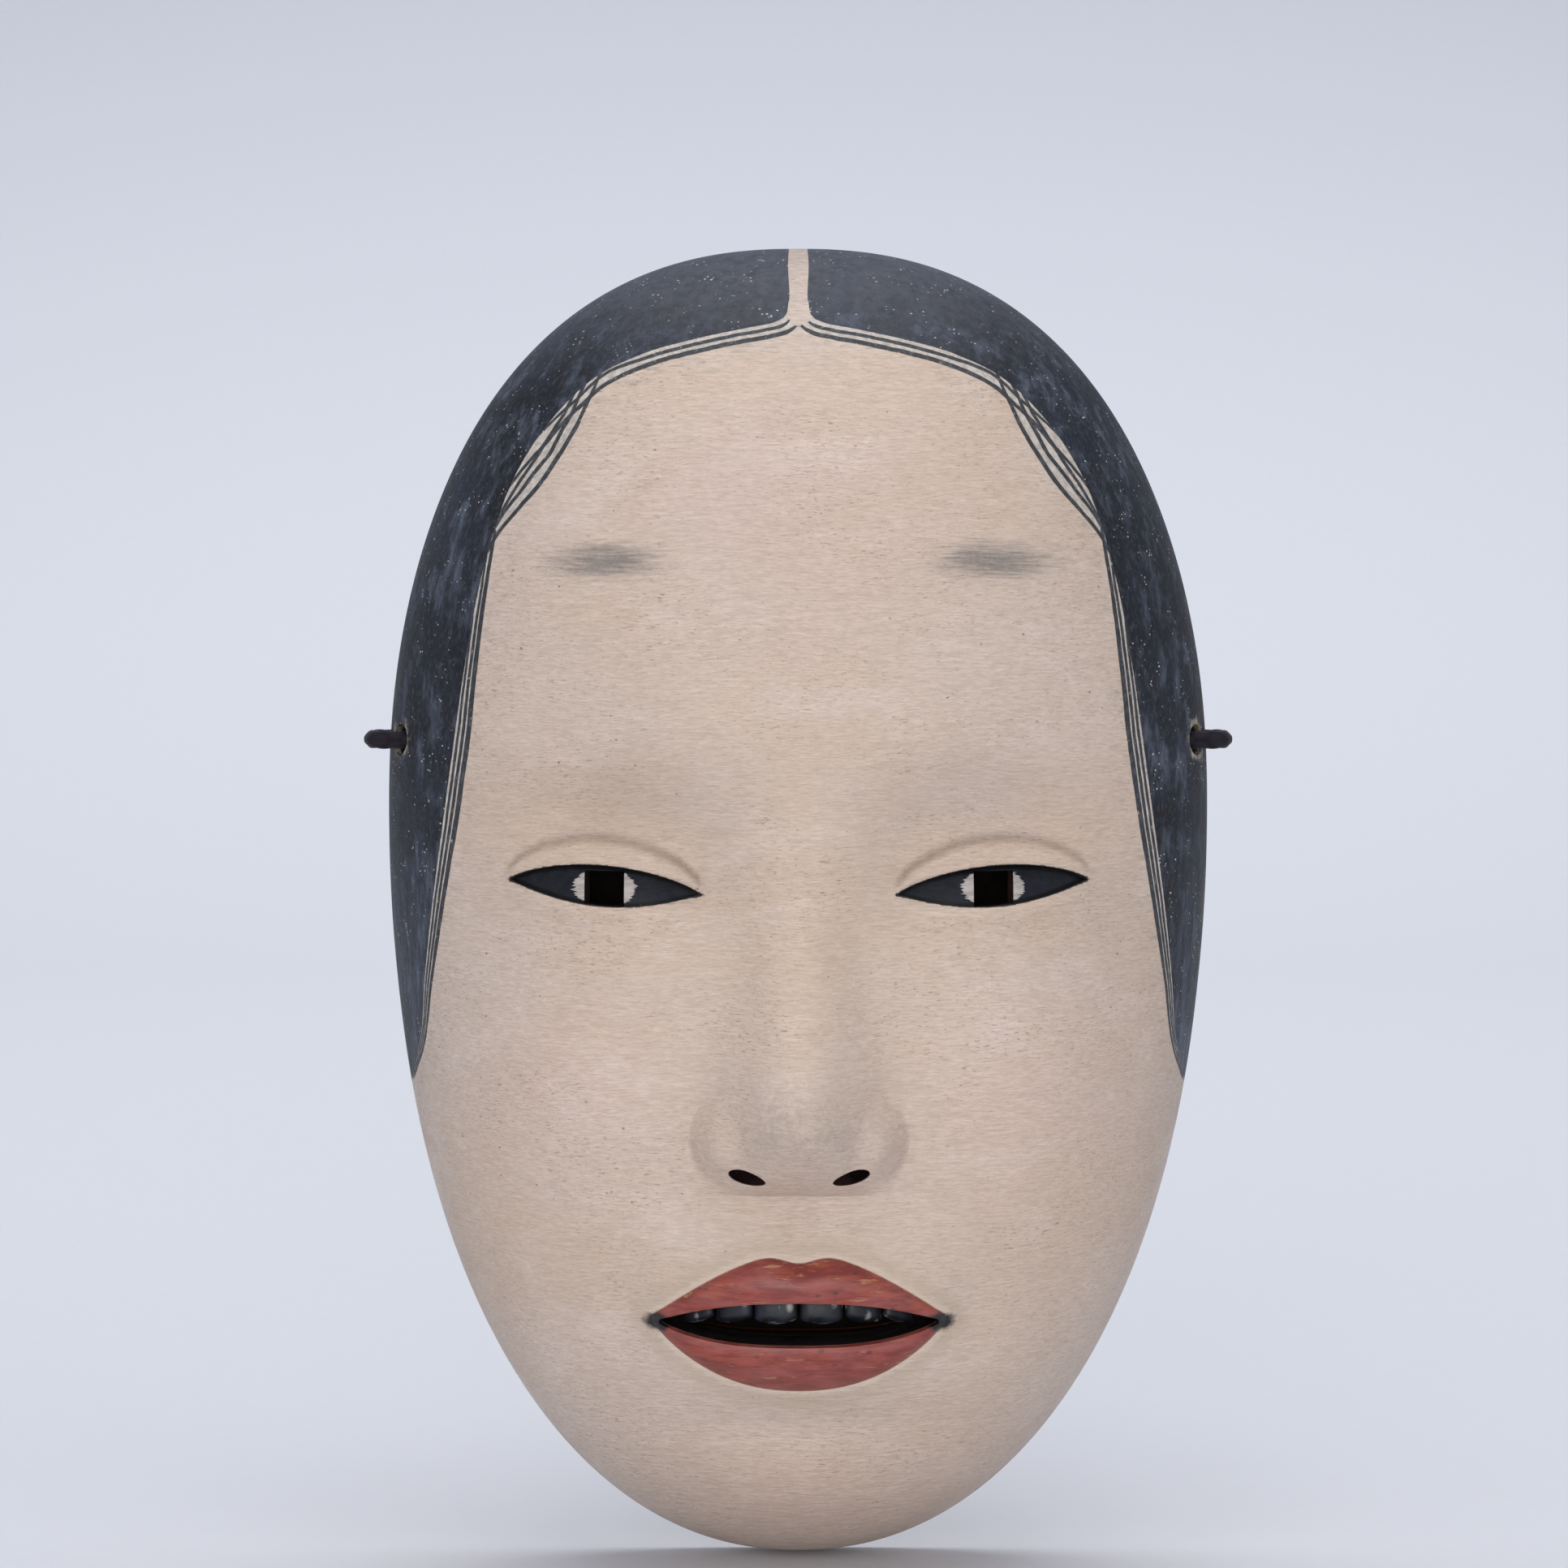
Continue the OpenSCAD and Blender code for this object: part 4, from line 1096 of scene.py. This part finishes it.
def wood_material():
    """Bare cypress: long straight grain up the mask, darker latewood lines, handling stains."""
    M = Mat("hinoki_wood")
    co = M.obj()
    ring = M.noise(M.scale(co, (260, 200, 7)), 1.0, 4, .55, .35)
    fibre = M.noise(M.scale(co, (1700, 1500, 60)), 1.0, 4, .65)
    stain = M.noise(co, 34.0, 5, .6)
    wv = M.node("TexWave", 1, wave_type="BANDS", bands_direction="X", ins={"Vector": M.scale(co, (1, .55, .06)), "Scale": 82.0, "Distortion": 7.0, "Detail": 4.0, "Detail Scale": .8})
    col = M.mix(M.rng(wv, .35, .95), (.58, .415, .245), (.46, .300, .160))
    col = M.mix(M.rng(ring, .4, .65, 0, .5), col, (.52, .35, .19))
    col = M.mix(M.rng(fibre, .3, .7), M.mix(1.0, col, (.84, .82, .80), "MULTIPLY"), M.mix(1.0, col, (1.07, 1.07, 1.07), "MULTIPLY"))
    col = M.mix(M.rng(stain, .5, .72, 0, .55), col, (.20, .115, .06))
    nrm = M.bump(M.math("ADD", fibre, M.math("MULTIPLY", wv, .35)), .00018, .6)
    return M.done(col, M.rng(stain, .3, .7, .50, .66), nrm, Specular_IOR_Level=.35)


def dark_material():
    """Walls of the pierced openings: soot-dark maroon lacquer."""
    M = Mat("opening_lacquer")
    co = M.obj()
    a = M.noise(M.scale(co, (300, 300, 300)), 1.0, 4, .6)
    b = M.noise(M.scale(co, (120, 90, 700)), 1.0, 3, .6)
    col = M.mix(M.rng(a, .35, .68), (.0062, .0035, .0035), (.020, .0075, .0070))
    col = M.mix(M.math("MULTIPLY", M.rng(b, .60, .70), .5), col, (.035, .022, .020))
    return M.done(col, M.rng(a, .3, .7, .38, .55), M.bump(b, .0002, .5), Specular_IOR_Level=.35)


def lacquer_material():
    """Back: red-brown lacquer over gouge marks, worn to the wood on the ridges, dulled by handling."""
    M = Mat("back_lacquer")
    co = M.obj()
    a = M.noise(co, 30.0, 5, .6, .3)
    b = M.noise(M.scale(co, (500, 500, 90)), 1.0, 4, .6)
    rdg = M.attr("ridge")
    col = M.mix(M.rng(a, .35, .66), (.058, .0145, .0095), (.098, .027, .015))
    col = M.mix(M.rng(b, .35, .7, 0, .5), col, (.045, .012, .009))
    wear = M.math("MULTIPLY", M.rng(M.math("ADD", rdg, M.math("MULTIPLY", M.math("SUBTRACT", b, .5), .5)), .80, 1.0), M.rng(a, .40, .62))
    col = M.mix(M.math("MULTIPLY", wear, .75), col, (.27, .125, .055))
    cell = M.vor(co, 500.0)
    spk = M.math("MULTIPLY", M.rng(cell, .1, .24, 1, 0), M.rng(M.noise(co, 200.0, 3, .6), .58, .66))
    col = M.mix(spk, col, (.20, .12, .07))
    nrm = M.bump(M.math("ADD", M.math("MULTIPLY", b, .6), M.noise(co, 800.0, 3, .6)), .00014, .5)
    return M.done(col, M.rng(M.noise(co, 60.0, 4, .6), .3, .7, .26, .46), nrm, Specular_IOR_Level=.48, Coat_Weight=.25, Coat_Roughness=.22)


def cord_material():
    """Braided silk cord, purple-black, with a fine fuzz of fibres."""
    M = Mat("cord_braid")
    co = M.obj()
    f = M.attr("braid")
    a = M.noise(co, 260.0, 4, .6)
    fib = M.noise(M.scale(co, (2600, 2600, 2600)), 1.0, 3, .7)
    col = M.mix(M.rng(f, .2, 1.0), (.0035, .0026, .0046), (.0150, .0108, .0190))
    col = M.mix(M.rng(fib, .5, .75, 0, .35), col, (.034, .027, .040))
    col = M.mix(M.rng(a, .55, .75, 0, .25), col, (.030, .024, .026))
    nrm = M.bump(M.math("ADD", M.math("MULTIPLY", fib, .5), M.math("MULTIPLY", f, .4)), .00012, .7)
    return M.done(col, M.rng(fib, .3, .7, .62, .82), nrm, Specular_IOR_Level=.18, Sheen_Weight=.08, Sheen_Roughness=.4)


MATS = {
    "gofun": gofun_material(), "hair": hair_material(), "lips": lips_material(), "eye": eye_material(), "teeth": teeth_material(),
    "wood": wood_material(), "dark": dark_material(), "lacquer": lacquer_material(), "cord": cord_material(),
}


# ------------------------------------------------------------------ cord
def resample(pts, step):
    c = spline(pts, step * .5)
    L = np.concatenate([[0], np.cumsum(np.linalg.norm(np.diff(c, axis=0), axis=1))])
    n = max(2, int(round(L[-1] / step)) + 1)
    s = np.linspace(0, L[-1], n)
    return np.stack([np.interp(s, L, c[:, k]) for k in range(3)], -1), s


def braid_tube(name, pts, dia, step=.22, sides=32, taper=0.0, closed=False):
    """Tube with the relief of an eight-strand round braid. pts in design mm."""
    c, s = resample(np.asarray(pts, float), step)
    n = len(c)
    tan = np.gradient(c, axis=0)
    tan /= np.linalg.norm(tan, axis=1, keepdims=True)
    ref = np.array([0, 0, 1.]) if abs(tan[0][2]) < .9 else np.array([0, 1., 0])
    u = np.cross(ref, tan[0])
    u /= np.linalg.norm(u)
    U = [u]
    for i in range(1, n):
        u = U[-1] - np.dot(U[-1], tan[i]) * tan[i]
        U.append(u / np.linalg.norm(u))
    U = np.array(U)
    W = np.cross(tan, U)
    th = np.linspace(0, 2 * pi, sides, endpoint=False)
    S_, T_ = np.meshgrid(s, th, indexing="ij")
    a = T_ * 4 / (2 * pi) + S_ / 4.2
    b = T_ * 4 / (2 * pi) - S_ / 4.2
    fa = np.abs(np.sin(pi * a)) ** .7 * (.74 + .26 * np.sin(2 * pi * b))
    fb = np.abs(np.sin(pi * b)) ** .7 * (.74 - .26 * np.sin(2 * pi * a))
    pat = np.maximum(fa, fb)
    r = dia / 2 * (.86 + .14 * pat)
    if taper:
        e = np.clip(np.minimum(S_, s[-1] - S_) / taper, 0, 1)
        r = r * np.sqrt(np.clip(1 - (1 - e) ** 2, .02, 1))
    P = c[:, None, :] + r[..., None] * (np.cos(T_)[..., None] * U[:, None, :] + np.sin(T_)[..., None] * W[:, None, :])
    P = P.reshape(-1, 3)
    P = np.vstack([P, c[:1], c[-1:]])
    i = np.arange(n - 1)[:, None] * sides
    j = np.arange(sides)[None, :]
    jn = (j + 1) % sides
    q = np.stack([i + j, i + jn, i + sides + jn, i + sides + j], -1).reshape(-1, 4)
    tri = np.vstack([q[:, [0, 1, 2]], q[:, [0, 2, 3]]])
    k = np.arange(sides)
    cap0 = np.stack([np.full(sides, n * sides), (k + 1) % sides, k], -1)
    cap1 = np.stack([np.full(sides, n * sides + 1), (n - 1) * sides + k, (n - 1) * sides + (k + 1) % sides], -1)
    ob = new_mesh(name, to_m(P), np.vstack([tri, cap0, cap1]), [MATS["cord"]])
    add_attr(ob, "braid", np.concatenate([pat.ravel(), [.3, .3]]))
    return ob, to_m(c)


LOOP_XY = [[51.9, -11.3], [53.2, -11.9], [55, -12], [58, -12], [62.5, -12], [65.6, -12], [67.6, -11.2], [68.8, -9.4], [69.1, -7],
           [68.8, -4.8], [67.5, -3.1], [65.4, -2.45], [62.5, -2.4], [59, -2.4], [55.5, -2.5], [53.4, -3], [52, -3.9]]
SPAN = [[47.9, -7.5, 134.6], [42, -7.4, 138.3], [35, -7.2, 143.4], [28, -7, 148.5], [21, -6.7, 153.6], [14, -6.4, 158.8],
        [8.5, -6.1, 163.2], [5, -6, 166], [2.6, -6, 167.4], [0, -6, 168]]
SPAN = np.array(SPAN + [[-p[0], p[1], p[2]] for p in SPAN[-2::-1]])
cord, cord_path = braid_tube("hanging_cord_braid", SPAN, 3.0)
loops, knots = [], []
for side, tag in ((1, "left"), (-1, "right")):
    lp = np.array([[side * x, y, BZ] for x, y in LOOP_XY])
    ob, _ = braid_tube("cord_loop_%s_braid" % tag, lp, 3.0)
    loops.append(ob)
    # an overhand knot: a small trefoil drawn tight
    a = np.linspace(0, 2 * pi, 49)[:-1]
    r0 = 1.28
    tre = np.stack([(np.cos(a) + 1.55 * np.cos(2 * a)) * r0 * .62, -np.sin(3 * a) * 1.15, (np.sin(a) - 1.55 * np.sin(2 * a)) * r0 * .62], -1)
    tre = np.vstack([tre[3:-2]])
    kc = np.array([50.4 * side, -7.6, 133.0])
    tre = tre * np.array([side, 1, 1]) + kc
    ob, _ = braid_tube("cord_knot_%s_braid" % tag, tre, 2.5, .2, 28, .9)
    knots.append(ob)
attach(cord, "root")
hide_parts("hanging_cord")
for obs, stem in ((loops, "cord_loop_"), (knots, "cord_knot_")):
    for ob, tag in zip(obs, ("left", "right")):
        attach(ob, "root")
        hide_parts(stem + tag)


# ------------------------------------------------------------------ painted shells
def soften(ob, angle=38):
    ob.data.set_sharp_from_angle(angle=math.radians(angle))


def tidy(ob):
    """One closed, outward-facing mesh."""
    import bmesh
    bm = bmesh.new()
    bm.from_mesh(ob.data)
    bmesh.ops.recalc_face_normals(bm, faces=bm.faces)
    bm.to_mesh(ob.data)
    bm.free()


def shell_piece(name, mask, node, mats, names, strands=False):
    ids, Fc = compact(V, F[mask])
    n = len(ids)
    e = boundary(Fc)
    wall = np.stack([e[:, 1], e[:, 0], e[:, 0] + n, e[:, 1] + n], -1)
    tris = np.vstack([Fc, Fc[:, ::-1] + n, wall[:, [0, 1, 2]], wall[:, [0, 2, 3]]])
    ob = new_mesh(name, to_m(np.vstack([OUTER[ids], INNER[ids]])), tris, mats)
    paint(ob, ids, names)
    if strands:
        paint_strands(ob, ids)
    soften(ob)
    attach(ob, "root")
    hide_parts(node)
    return ob


gofun_ob = shell_piece("gofun_ground", is_go, "gofun_coat", [MATS["gofun"]],
                       ["he", "bt", "rim", "lipd", "shade", "crease", "pink", "ochre", "tip", "brow", "corner", "eyeline"], True)
hair_l_ob = shell_piece("hair_left_ink", is_hl, "hair_coat_left", [MATS["hair"]], ["he", "hs", "rim"])
hair_r_ob = shell_piece("hair_right_ink", is_hr, "hair_coat_right", [MATS["hair"]], ["he", "hs", "rim"])
lip_u_ob = shell_piece("upper_lip_paint", is_ul, "upper_lip_coat", [MATS["lips"]], ["lipd", "corner"])
lip_d_ob = shell_piece("lower_lip_paint", is_ll, "lower_lip_coat", [MATS["lips"]], ["lipd", "corner"])

# ------------------------------------------------------------------ eyes
EYE_DOM = loops_dom(eye_l)


def h_eye(PQ):
    return np.full(len(PQ), .4)


VE, FE, CE = triangulate([(EYE_DOM, True), (loops_dom(pup_l), True)], h_eye, .4, 1, EYE_DOM)
FE_open = FE[~inside(loops_dom(pup_l), CE)]
for side, tag in ((1, "left"), (-1, "right")):
    ids, Fc = compact(VE, FE_open)
    pq = VE[ids] * np.array([side, 1])
    base, nd = front(pq, False), normals(dome, pq)
    ex_, ez_, _, _ = from_dom(pq)
    u_ = np.clip((np.abs(ex_) - EYE_X) / EYE_HW, -1, 1)
    bulge = .35 * np.clip(1 - u_ ** 2, 0, 1)[:, None] * nd
    outer, inner = base + bulge + .02 * nd, base - 1.3 * nd
    n = len(ids)
    if side < 0:
        Fc = Fc[:, ::-1]
    e = boundary(Fc)
    wall = np.stack([e[:, 1], e[:, 0], e[:, 0] + n, e[:, 1] + n], -1)
    ob = new_mesh("eye_%s_painted" % tag, to_m(np.vstack([outer, inner])), np.vstack([Fc, Fc[:, ::-1] + n, wall[:, [0, 1, 2]], wall[:, [0, 2, 3]]]), [MATS["eye"], MATS["dark"]],
                  np.concatenate([np.zeros(2 * len(Fc), int), np.ones(2 * len(wall), int)]))
    for nm_, v_ in (("ex", np.abs(ex_) - EYE_X), ("ez", ez_ - 110.9), ("et", eye_top(u_) - ez_), ("eb", ez_ - eye_low(u_))):
        add_attr(ob, nm_, np.concatenate([v_, v_]))
    soften(ob)
    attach(ob, "root")
    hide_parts("eye_" + tag)

# ------------------------------------------------------------------ carved body
def h_hollow(PQ):
    x, z, t, s = from_dom(PQ, RIM)
    h = np.full(len(x), 1.5)
    fine = ((x / 26) ** 2 + ((z - 44) / 9) ** 2 < 1) | ((((np.abs(x) - 30) / 8) ** 2 + ((z - 111) / 7) ** 2) < 1)
    h[fine] = .75
    return h


curves_b = [(rim_in_dom, True), (shrink(rim_in_dom, 1.0), True), (loops_dom(slot_p, RIM), True)]
for q in (pup_l, bore_in_l):
    for p in both_sides(q):
        curves_b.append((loops_dom(p, RIM), True))
VB, FB, CB = triangulate(curves_b, h_hollow, 1.5, 2, rim_in_dom)
hb = inside(loops_dom(slot_p, RIM), CB)
for q in (pup_l, bore_in_l):
    for p in both_sides(q):
        hb |= inside(loops_dom(p, RIM), CB)
FB = FB[~hb]

parts_v, parts_f, parts_m = [], [], []


def add_part(v, f, m):
    base = sum(len(a) for a in parts_v)
    parts_v.append(v)
    parts_f.append(np.asarray(f) + base)
    parts_m.append(np.full(len(f), m))


def strip(rows, closed=True, m=0):
    """Quads as triangles between rows of equal length."""
    R_ = np.array(rows)
    nr, nc = R_.shape[:2]
    i = np.arange(nr - 1)[:, None] * nc
    j = np.arange(nc if closed else nc - 1)[None, :]
    jn = (j + 1) % nc
    q = np.stack([i + j, i + jn, i + nc + jn, i + nc + j], -1).reshape(-1, 4)
    add_part(R_.reshape(-1, 3), np.vstack([q[:, [0, 1, 2]], q[:, [0, 2, 3]]]), m)


is_core = ~hole
ids, Fc = compact(V, F[is_core])
add_part(P0[ids], Fc, 0)
idb, Fbc = compact(VB, FB)
add_part(hollow(VB[idb]), Fbc, 0)


def loop_front(p):
    return front(loops_dom(p))


def loop_hollow(p):
    return hollow(loops_dom(p, RIM))


def between_loops(a, b, n, m):
    strip([a + (b - a) * k / n for k in range(n + 1)], True, m)


for side in (1, -1):
    mp = (lambda p: p) if side > 0 else mirror_xz
    # recess for the eye plate
    pq = loops_dom(mp(eye_l))
    a = front(pq)
    nd = normals(dome, pq)
    b = front(pq, False) - 1.35 * nd
    between_loops(a, b, 2, 1)
    idx, Fe = compact(VE, FE_open)
    pe = VE[idx] * np.array([side, 1])
    add_part(front(pe, False) - 1.35 * normals(dome, pe), Fe, 1)
    pp = loops_dom(mp(pup_l))
    between_loops(front(pp, False) - 1.35 * normals(dome, pp), loop_hollow(mp(pup_l)), 4, 1)
    # nostril, a blind tapering hole that turns upwards
    a = loop_front(mp(nos_l))
    cen = a.mean(0)
    rows = [a]
    for k, (sc, dy, dz) in enumerate(((.97, 1.0, .9), (.9, 2.2, 2.2), (.78, 3.4, 3.6), (.55, 4.6, 4.8), (.2, 5.3, 5.5))):
        rows.append(cen + (a - cen) * sc + np.array([0, dy, dz]))
    strip(rows, True, 1)
    n_ = len(a)
    add_part(np.vstack([rows[-1], rows[-1].mean(0)[None]]), np.stack([np.arange(n_), (np.arange(n_) + 1) % n_, np.full(n_, n_)], -1), 1)
    # cord bore
    between_loops(loop_front(mp(bore_l)), loop_hollow(mp(bore_in_l)), 6, 1)
between_loops(loop_front(slot_p), loop_hollow(slot_p), 8, 1)
# flat rim at the back, its arrises eased by the knife
ro, ri = front(rim_dom), hollow(rim_in_dom)
rows = [ro]
for k in (.06, .15, .35, .6, .85, .94, 1.0):
    p_ = ro + (ri - ro) * k
    lift = -.35 * (1 - min(k / .15, 1)) ** 2 - .45 * (1 - min((1 - k) / .15, 1)) ** 2
    wave = .10 * np.sin(rim_t * 37 + 2 * np.sin(rim_t * 11)) * math.sin(pi * k) ** .5 if 0 < k < 1 else 0
    if k < 1:
        p_ = p_ + np.stack([np.zeros(len(p_)), np.full(len(p_), lift * (0 < k < 1)) - np.abs(wave), np.zeros(len(p_))], -1)
    rows.append(p_)
strip(rows, True, 0)
CV, CF, CM = np.vstack(parts_v), np.vstack(parts_f), np.concatenate(parts_m)
key = np.round(CV * 1000).astype(np.int64)
_, first, inv = np.unique(key, axis=0, return_index=True, return_inverse=True)
inv = inv.ravel()
CF = inv[CF]
good = (CF[:, 0] != CF[:, 1]) & (CF[:, 1] != CF[:, 2]) & (CF[:, 0] != CF[:, 2])
CF, CM = CF[good], CM[good]
core_ob = new_mesh("carved_body", to_m(CV[first]), CF, [MATS["wood"], MATS["dark"]], CM)
tidy(core_ob)
soften(core_ob, 42)
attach(core_ob, "root")
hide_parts("mask_core")

# ------------------------------------------------------------------ lacquered back with gouge marks
rng_ = np.random.default_rng(7)
seeds = []
zs = np.arange(4, 212, 11.0)
for i, zz in enumerate(zs):
    for xx in np.arange(-60, 61, 7.6):
        seeds.append([xx + (3.8 if i % 2 else 0) + rng_.uniform(-1.2, 1.2), zz + rng_.uniform(-2.5, 2.5)])
seeds = np.array(seeds)
HB = hollow(VB)
f1 = np.full(len(VB), 1e9)
for sx, sz in seeds:
    q = ((HB[:, 0] - sx) / 4.4) ** 2 + ((HB[:, 2] - sz) / 7.2) ** 2
    f1 = np.minimum(f1, q)
f1 = np.clip(f1, 0, 1.4) / 1.4
rim_b = rim_in_dom.mean() * 0 + (rim_r(np.arctan2(VB[:, 1], VB[:, 0])) - RIM) * pi / 2 - np.hypot(VB[:, 0], VB[:, 1])
fade = np.clip(rim_b / 6, 0, 1)
edge_b = np.zeros(len(VB), bool)
edge_b[np.unique(boundary(FB))] = True


def hollow_dome(PQ):
    x, z, t, s = from_dom(PQ, RIM)
    d = (dh(z) - 8.5) * np.clip(1 - s ** dm(t), 0, 1) ** (1 / dk(t)) + setback(z) * s ** 8
    return np.stack([x, -d, z], -1)


NBk = normals(hollow_dome, VB)
NBk[rim_b < 1e-3, 1] = 0
NBk /= np.linalg.norm(NBk, axis=1, keepdims=True)
thick = LACQ + .10 - .42 * (1 - f1) * fade * (~edge_b)
lac_in = HB - .01 * NBk
lac_out = HB - np.maximum(thick, .08)[:, None] * NBk
ids, Fc = compact(VB, FB)
n = len(ids)
e = boundary(Fc)
wall = np.stack([e[:, 1], e[:, 0], e[:, 0] + n, e[:, 1] + n], -1)
lac_ob = new_mesh("back_lacquer_coat", to_m(np.vstack([lac_in[ids], lac_out[ids]])), np.vstack([Fc, Fc[:, ::-1] + n, wall[:, [0, 1, 2]], wall[:, [0, 2, 3]]]), [MATS["lacquer"]])
add_attr(lac_ob, "ridge", np.concatenate([f1[ids], f1[ids]]))
soften(lac_ob, 42)
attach(lac_ob, "root")
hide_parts("back_lacquer")

# ------------------------------------------------------------------ teeth
TX = [-18.2, -13, -7, 0, 7, 13, 18.2]
tv, tf, tb_ = [], [], []
for k in range(6):
    x0, x1 = TX[k] + .06, TX[k + 1] - .06
    xc, hw = (x0 + x1) / 2, (x1 - x0) / 2
    hgt = 4.7 - .006 * xc * xc
    yf = 46.6 - .016 * xc * xc
    tilt = .0165 * 2 * xc * .9
    nu, nv = 40, 28
    aa = np.linspace(0, 2 * pi, nu, endpoint=False)
    bb = np.linspace(0, 1, nv)
    A_, B_ = np.meshgrid(aa, bb, indexing="ij")
    ca, sa = np.cos(A_), np.sin(A_)
    ex1 = .62
    fx_ = np.sign(ca) * np.abs(ca) ** ex1
    fy_ = np.sign(sa) * np.abs(sa) ** .8
    # width and thickness along the height: slight waist at the gum, rounded lower edge
    low = np.clip((B_ - .0) / .20, 0, 1)
    wfac = np.sqrt(np.clip(1 - (1 - low) ** 2.2, 0, 1)) * (.985 - .05 * B_ ** 2)
    tfac = np.sqrt(np.clip(1 - (1 - np.clip(B_ / .34, 0, 1)) ** 2, 0, 1)) * (1 - .10 * B_)
    bulge = .32 * np.sin(pi * np.clip(B_, 0, 1)) ** .8
    X_ = xc + hw * fx_ * np.maximum(wfac, .02)
    th_ = np.where(fy_ > 0, 1.6 + bulge, 1.3)
    Yl = fy_ * th_ * np.maximum(tfac, .02)
    ztop = slot_top(np.clip(X_, -21, 21)) - .02
    Z_ = ztop - hgt * (1 - B_) + .25 * (fx_ ** 2) * (1 - B_) * 1.2
    Y_ = -(yf - 1.7 + Yl) + tilt * (X_ - xc)
    P_ = np.stack([X_, Y_, Z_], -1)
    base = sum(len(a) for a in tv)
    pts = np.vstack([P_.reshape(-1, 3), P_[:, 0].mean(0)[None], P_[:, -1].mean(0)[None]])
    i = np.arange(nu)[:, None]
    j = np.arange(nv - 1)[None, :]
    a0, a1 = i * nv + j, ((i + 1) % nu) * nv + j
    q = np.stack([a0, a0 + 1, a1 + 1, a1], -1).reshape(-1, 4)
    f_ = [q[:, [0, 1, 2]], q[:, [0, 2, 3]]]
    ii = np.arange(nu)
    f_.append(np.stack([np.full(nu, nu * nv), ii * nv, ((ii + 1) % nu) * nv], -1))
    f_.append(np.stack([np.full(nu, nu * nv + 1), ((ii + 1) % nu) * nv + nv - 1, ii * nv + nv - 1], -1))
    tv.append(pts)
    tf.append(np.vstack(f_) + base)
    tb_.append(np.concatenate([(B_ * hgt).ravel(), [0, hgt]]))
teeth_ob = new_mesh("blackened_teeth", to_m(np.vstack(tv)), np.vstack(tf), [MATS["teeth"]])
add_attr(teeth_ob, "tb", np.concatenate(tb_))
tidy(teeth_ob)
soften(teeth_ob, 60)
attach(teeth_ob, "root")
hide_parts("upper_teeth")

# ------------------------------------------------------------------ stage and light
FLOOR = -.16115
prof = [(-4.5, 0.0), (1.1, 0.0)]
prof += [(1.1 + 1.5 * math.sin(a), 1.5 - 1.5 * math.cos(a)) for a in np.linspace(0, pi / 2, 33)[1:]]
prof += [(2.6, 4.5)]
sv, sf = [], []
for i, (y, z) in enumerate(prof):
    sv += [(-4.5, y, FLOOR + z), (4.5, y, FLOOR + z)]
    if i:
        sf.append((2 * i - 2, 2 * i - 1, 2 * i + 1, 2 * i))
stage_ob = new_mesh("studio_sweep", np.array(sv), np.array(sf))
SM = Mat("studio_paper")
sco = SM.obj()
sz_ = SM.sep(sco)[2]
grain = SM.noise(sco, 300.0, 3, .6)
# painted shade: the sweep paper is coloured darker higher up, standing in for the fall-off of the light
scol = SM.mix(SM.rng(sz_, -.10, .75), (.76, .77, .81), (.50, .515, .57))
scol = SM.mix(SM.rng(grain, .3, .7), SM.mix(1.0, scol, (.99, .99, .99), "MULTIPLY"), scol)
stage_ob.data.materials.append(SM.done(scol, SM.rng(grain, .3, .7, .80, .9), None, Specular_IOR_Level=.2))

# Small black flags behind the pierced openings, part of the studio and not of the mask: dark sheets standing in for the
# shade seen through the openings, they keep the pale sweep from shining through
flag_mat = Mat("studio_flag")
fco = flag_mat.obj()
flag_mat = flag_mat.done(flag_mat.mix(flag_mat.rng(flag_mat.noise(fco, 400.0, 3, .6), .3, .7), (.0035, .003, .0025), (.0065, .0055, .004)), .9, None, Specular_IOR_Level=.05)


def flag(name, p, grow, back):
    q = p - p.mean(0)
    q = p.mean(0) + q * grow
    f3 = hollow(loops_dom(q, RIM)) + np.array([0, back, 0])
    n_ = len(f3)
    c_ = f3.mean(0)[None]
    ob_ = new_mesh(name, to_m(np.vstack([f3, c_])), np.stack([np.arange(n_), (np.arange(n_) + 1) % n_, np.full(n_, n_)], -1), [flag_mat], None, False)


for side, tag in ((1, "left"), (-1, "right")):
    flag("flag_pupil_" + tag, pup_l if side > 0 else mirror_xz(pup_l), 1.06, 1.0)
flag("flag_mouth", slot_p, 1.04, 1.4)

world = bpy.data.worlds.new("studio")
scene.world = world
world.use_nodes = True
bgn = world.node_tree.nodes["Background"]
bgn.inputs[0].default_value = (.86, .90, 1.0, 1)
bgn.inputs[1].default_value = .36


def area(name, loc, size, energy, color, target=(0, -.03, -.05), size_y=None):
    L = bpy.data.lights.new(name, "AREA")
    L.shape = "RECTANGLE"
    L.size = size
    L.size_y = size_y or size
    L.energy = energy
    L.color = color
    o = bpy.data.objects.new(name, L)
    scene.collection.objects.link(o)
    o.location = loc
    look_at(o, target)
    return o


area("key", (-.30, -1.60, .12), 1.3, 9.2, (1.0, .985, .965), size_y=1.1)
area("top_soft", (.05, -.45, 1.35), 1.2, 4.6, (1.0, .99, .98), target=(0, -.02, .02), size_y=.7)
area("low_fill", (.05, -1.15, -.14), .9, 5.4, (1.0, .98, .96), target=(0, -.03, -.10), size_y=.3)
area("fill_left", (-1.6, -.9, .0), 1.2, 3.3, (.94, .965, 1.0))
area("fill_right", (1.6, -1.0, .1), 1.2, 4.2, (1.0, .985, .965))
area("back_wash", (0, .75, 2.3), 2.2, 42, (.95, .97, 1.0), target=(0, 2.5, .35))
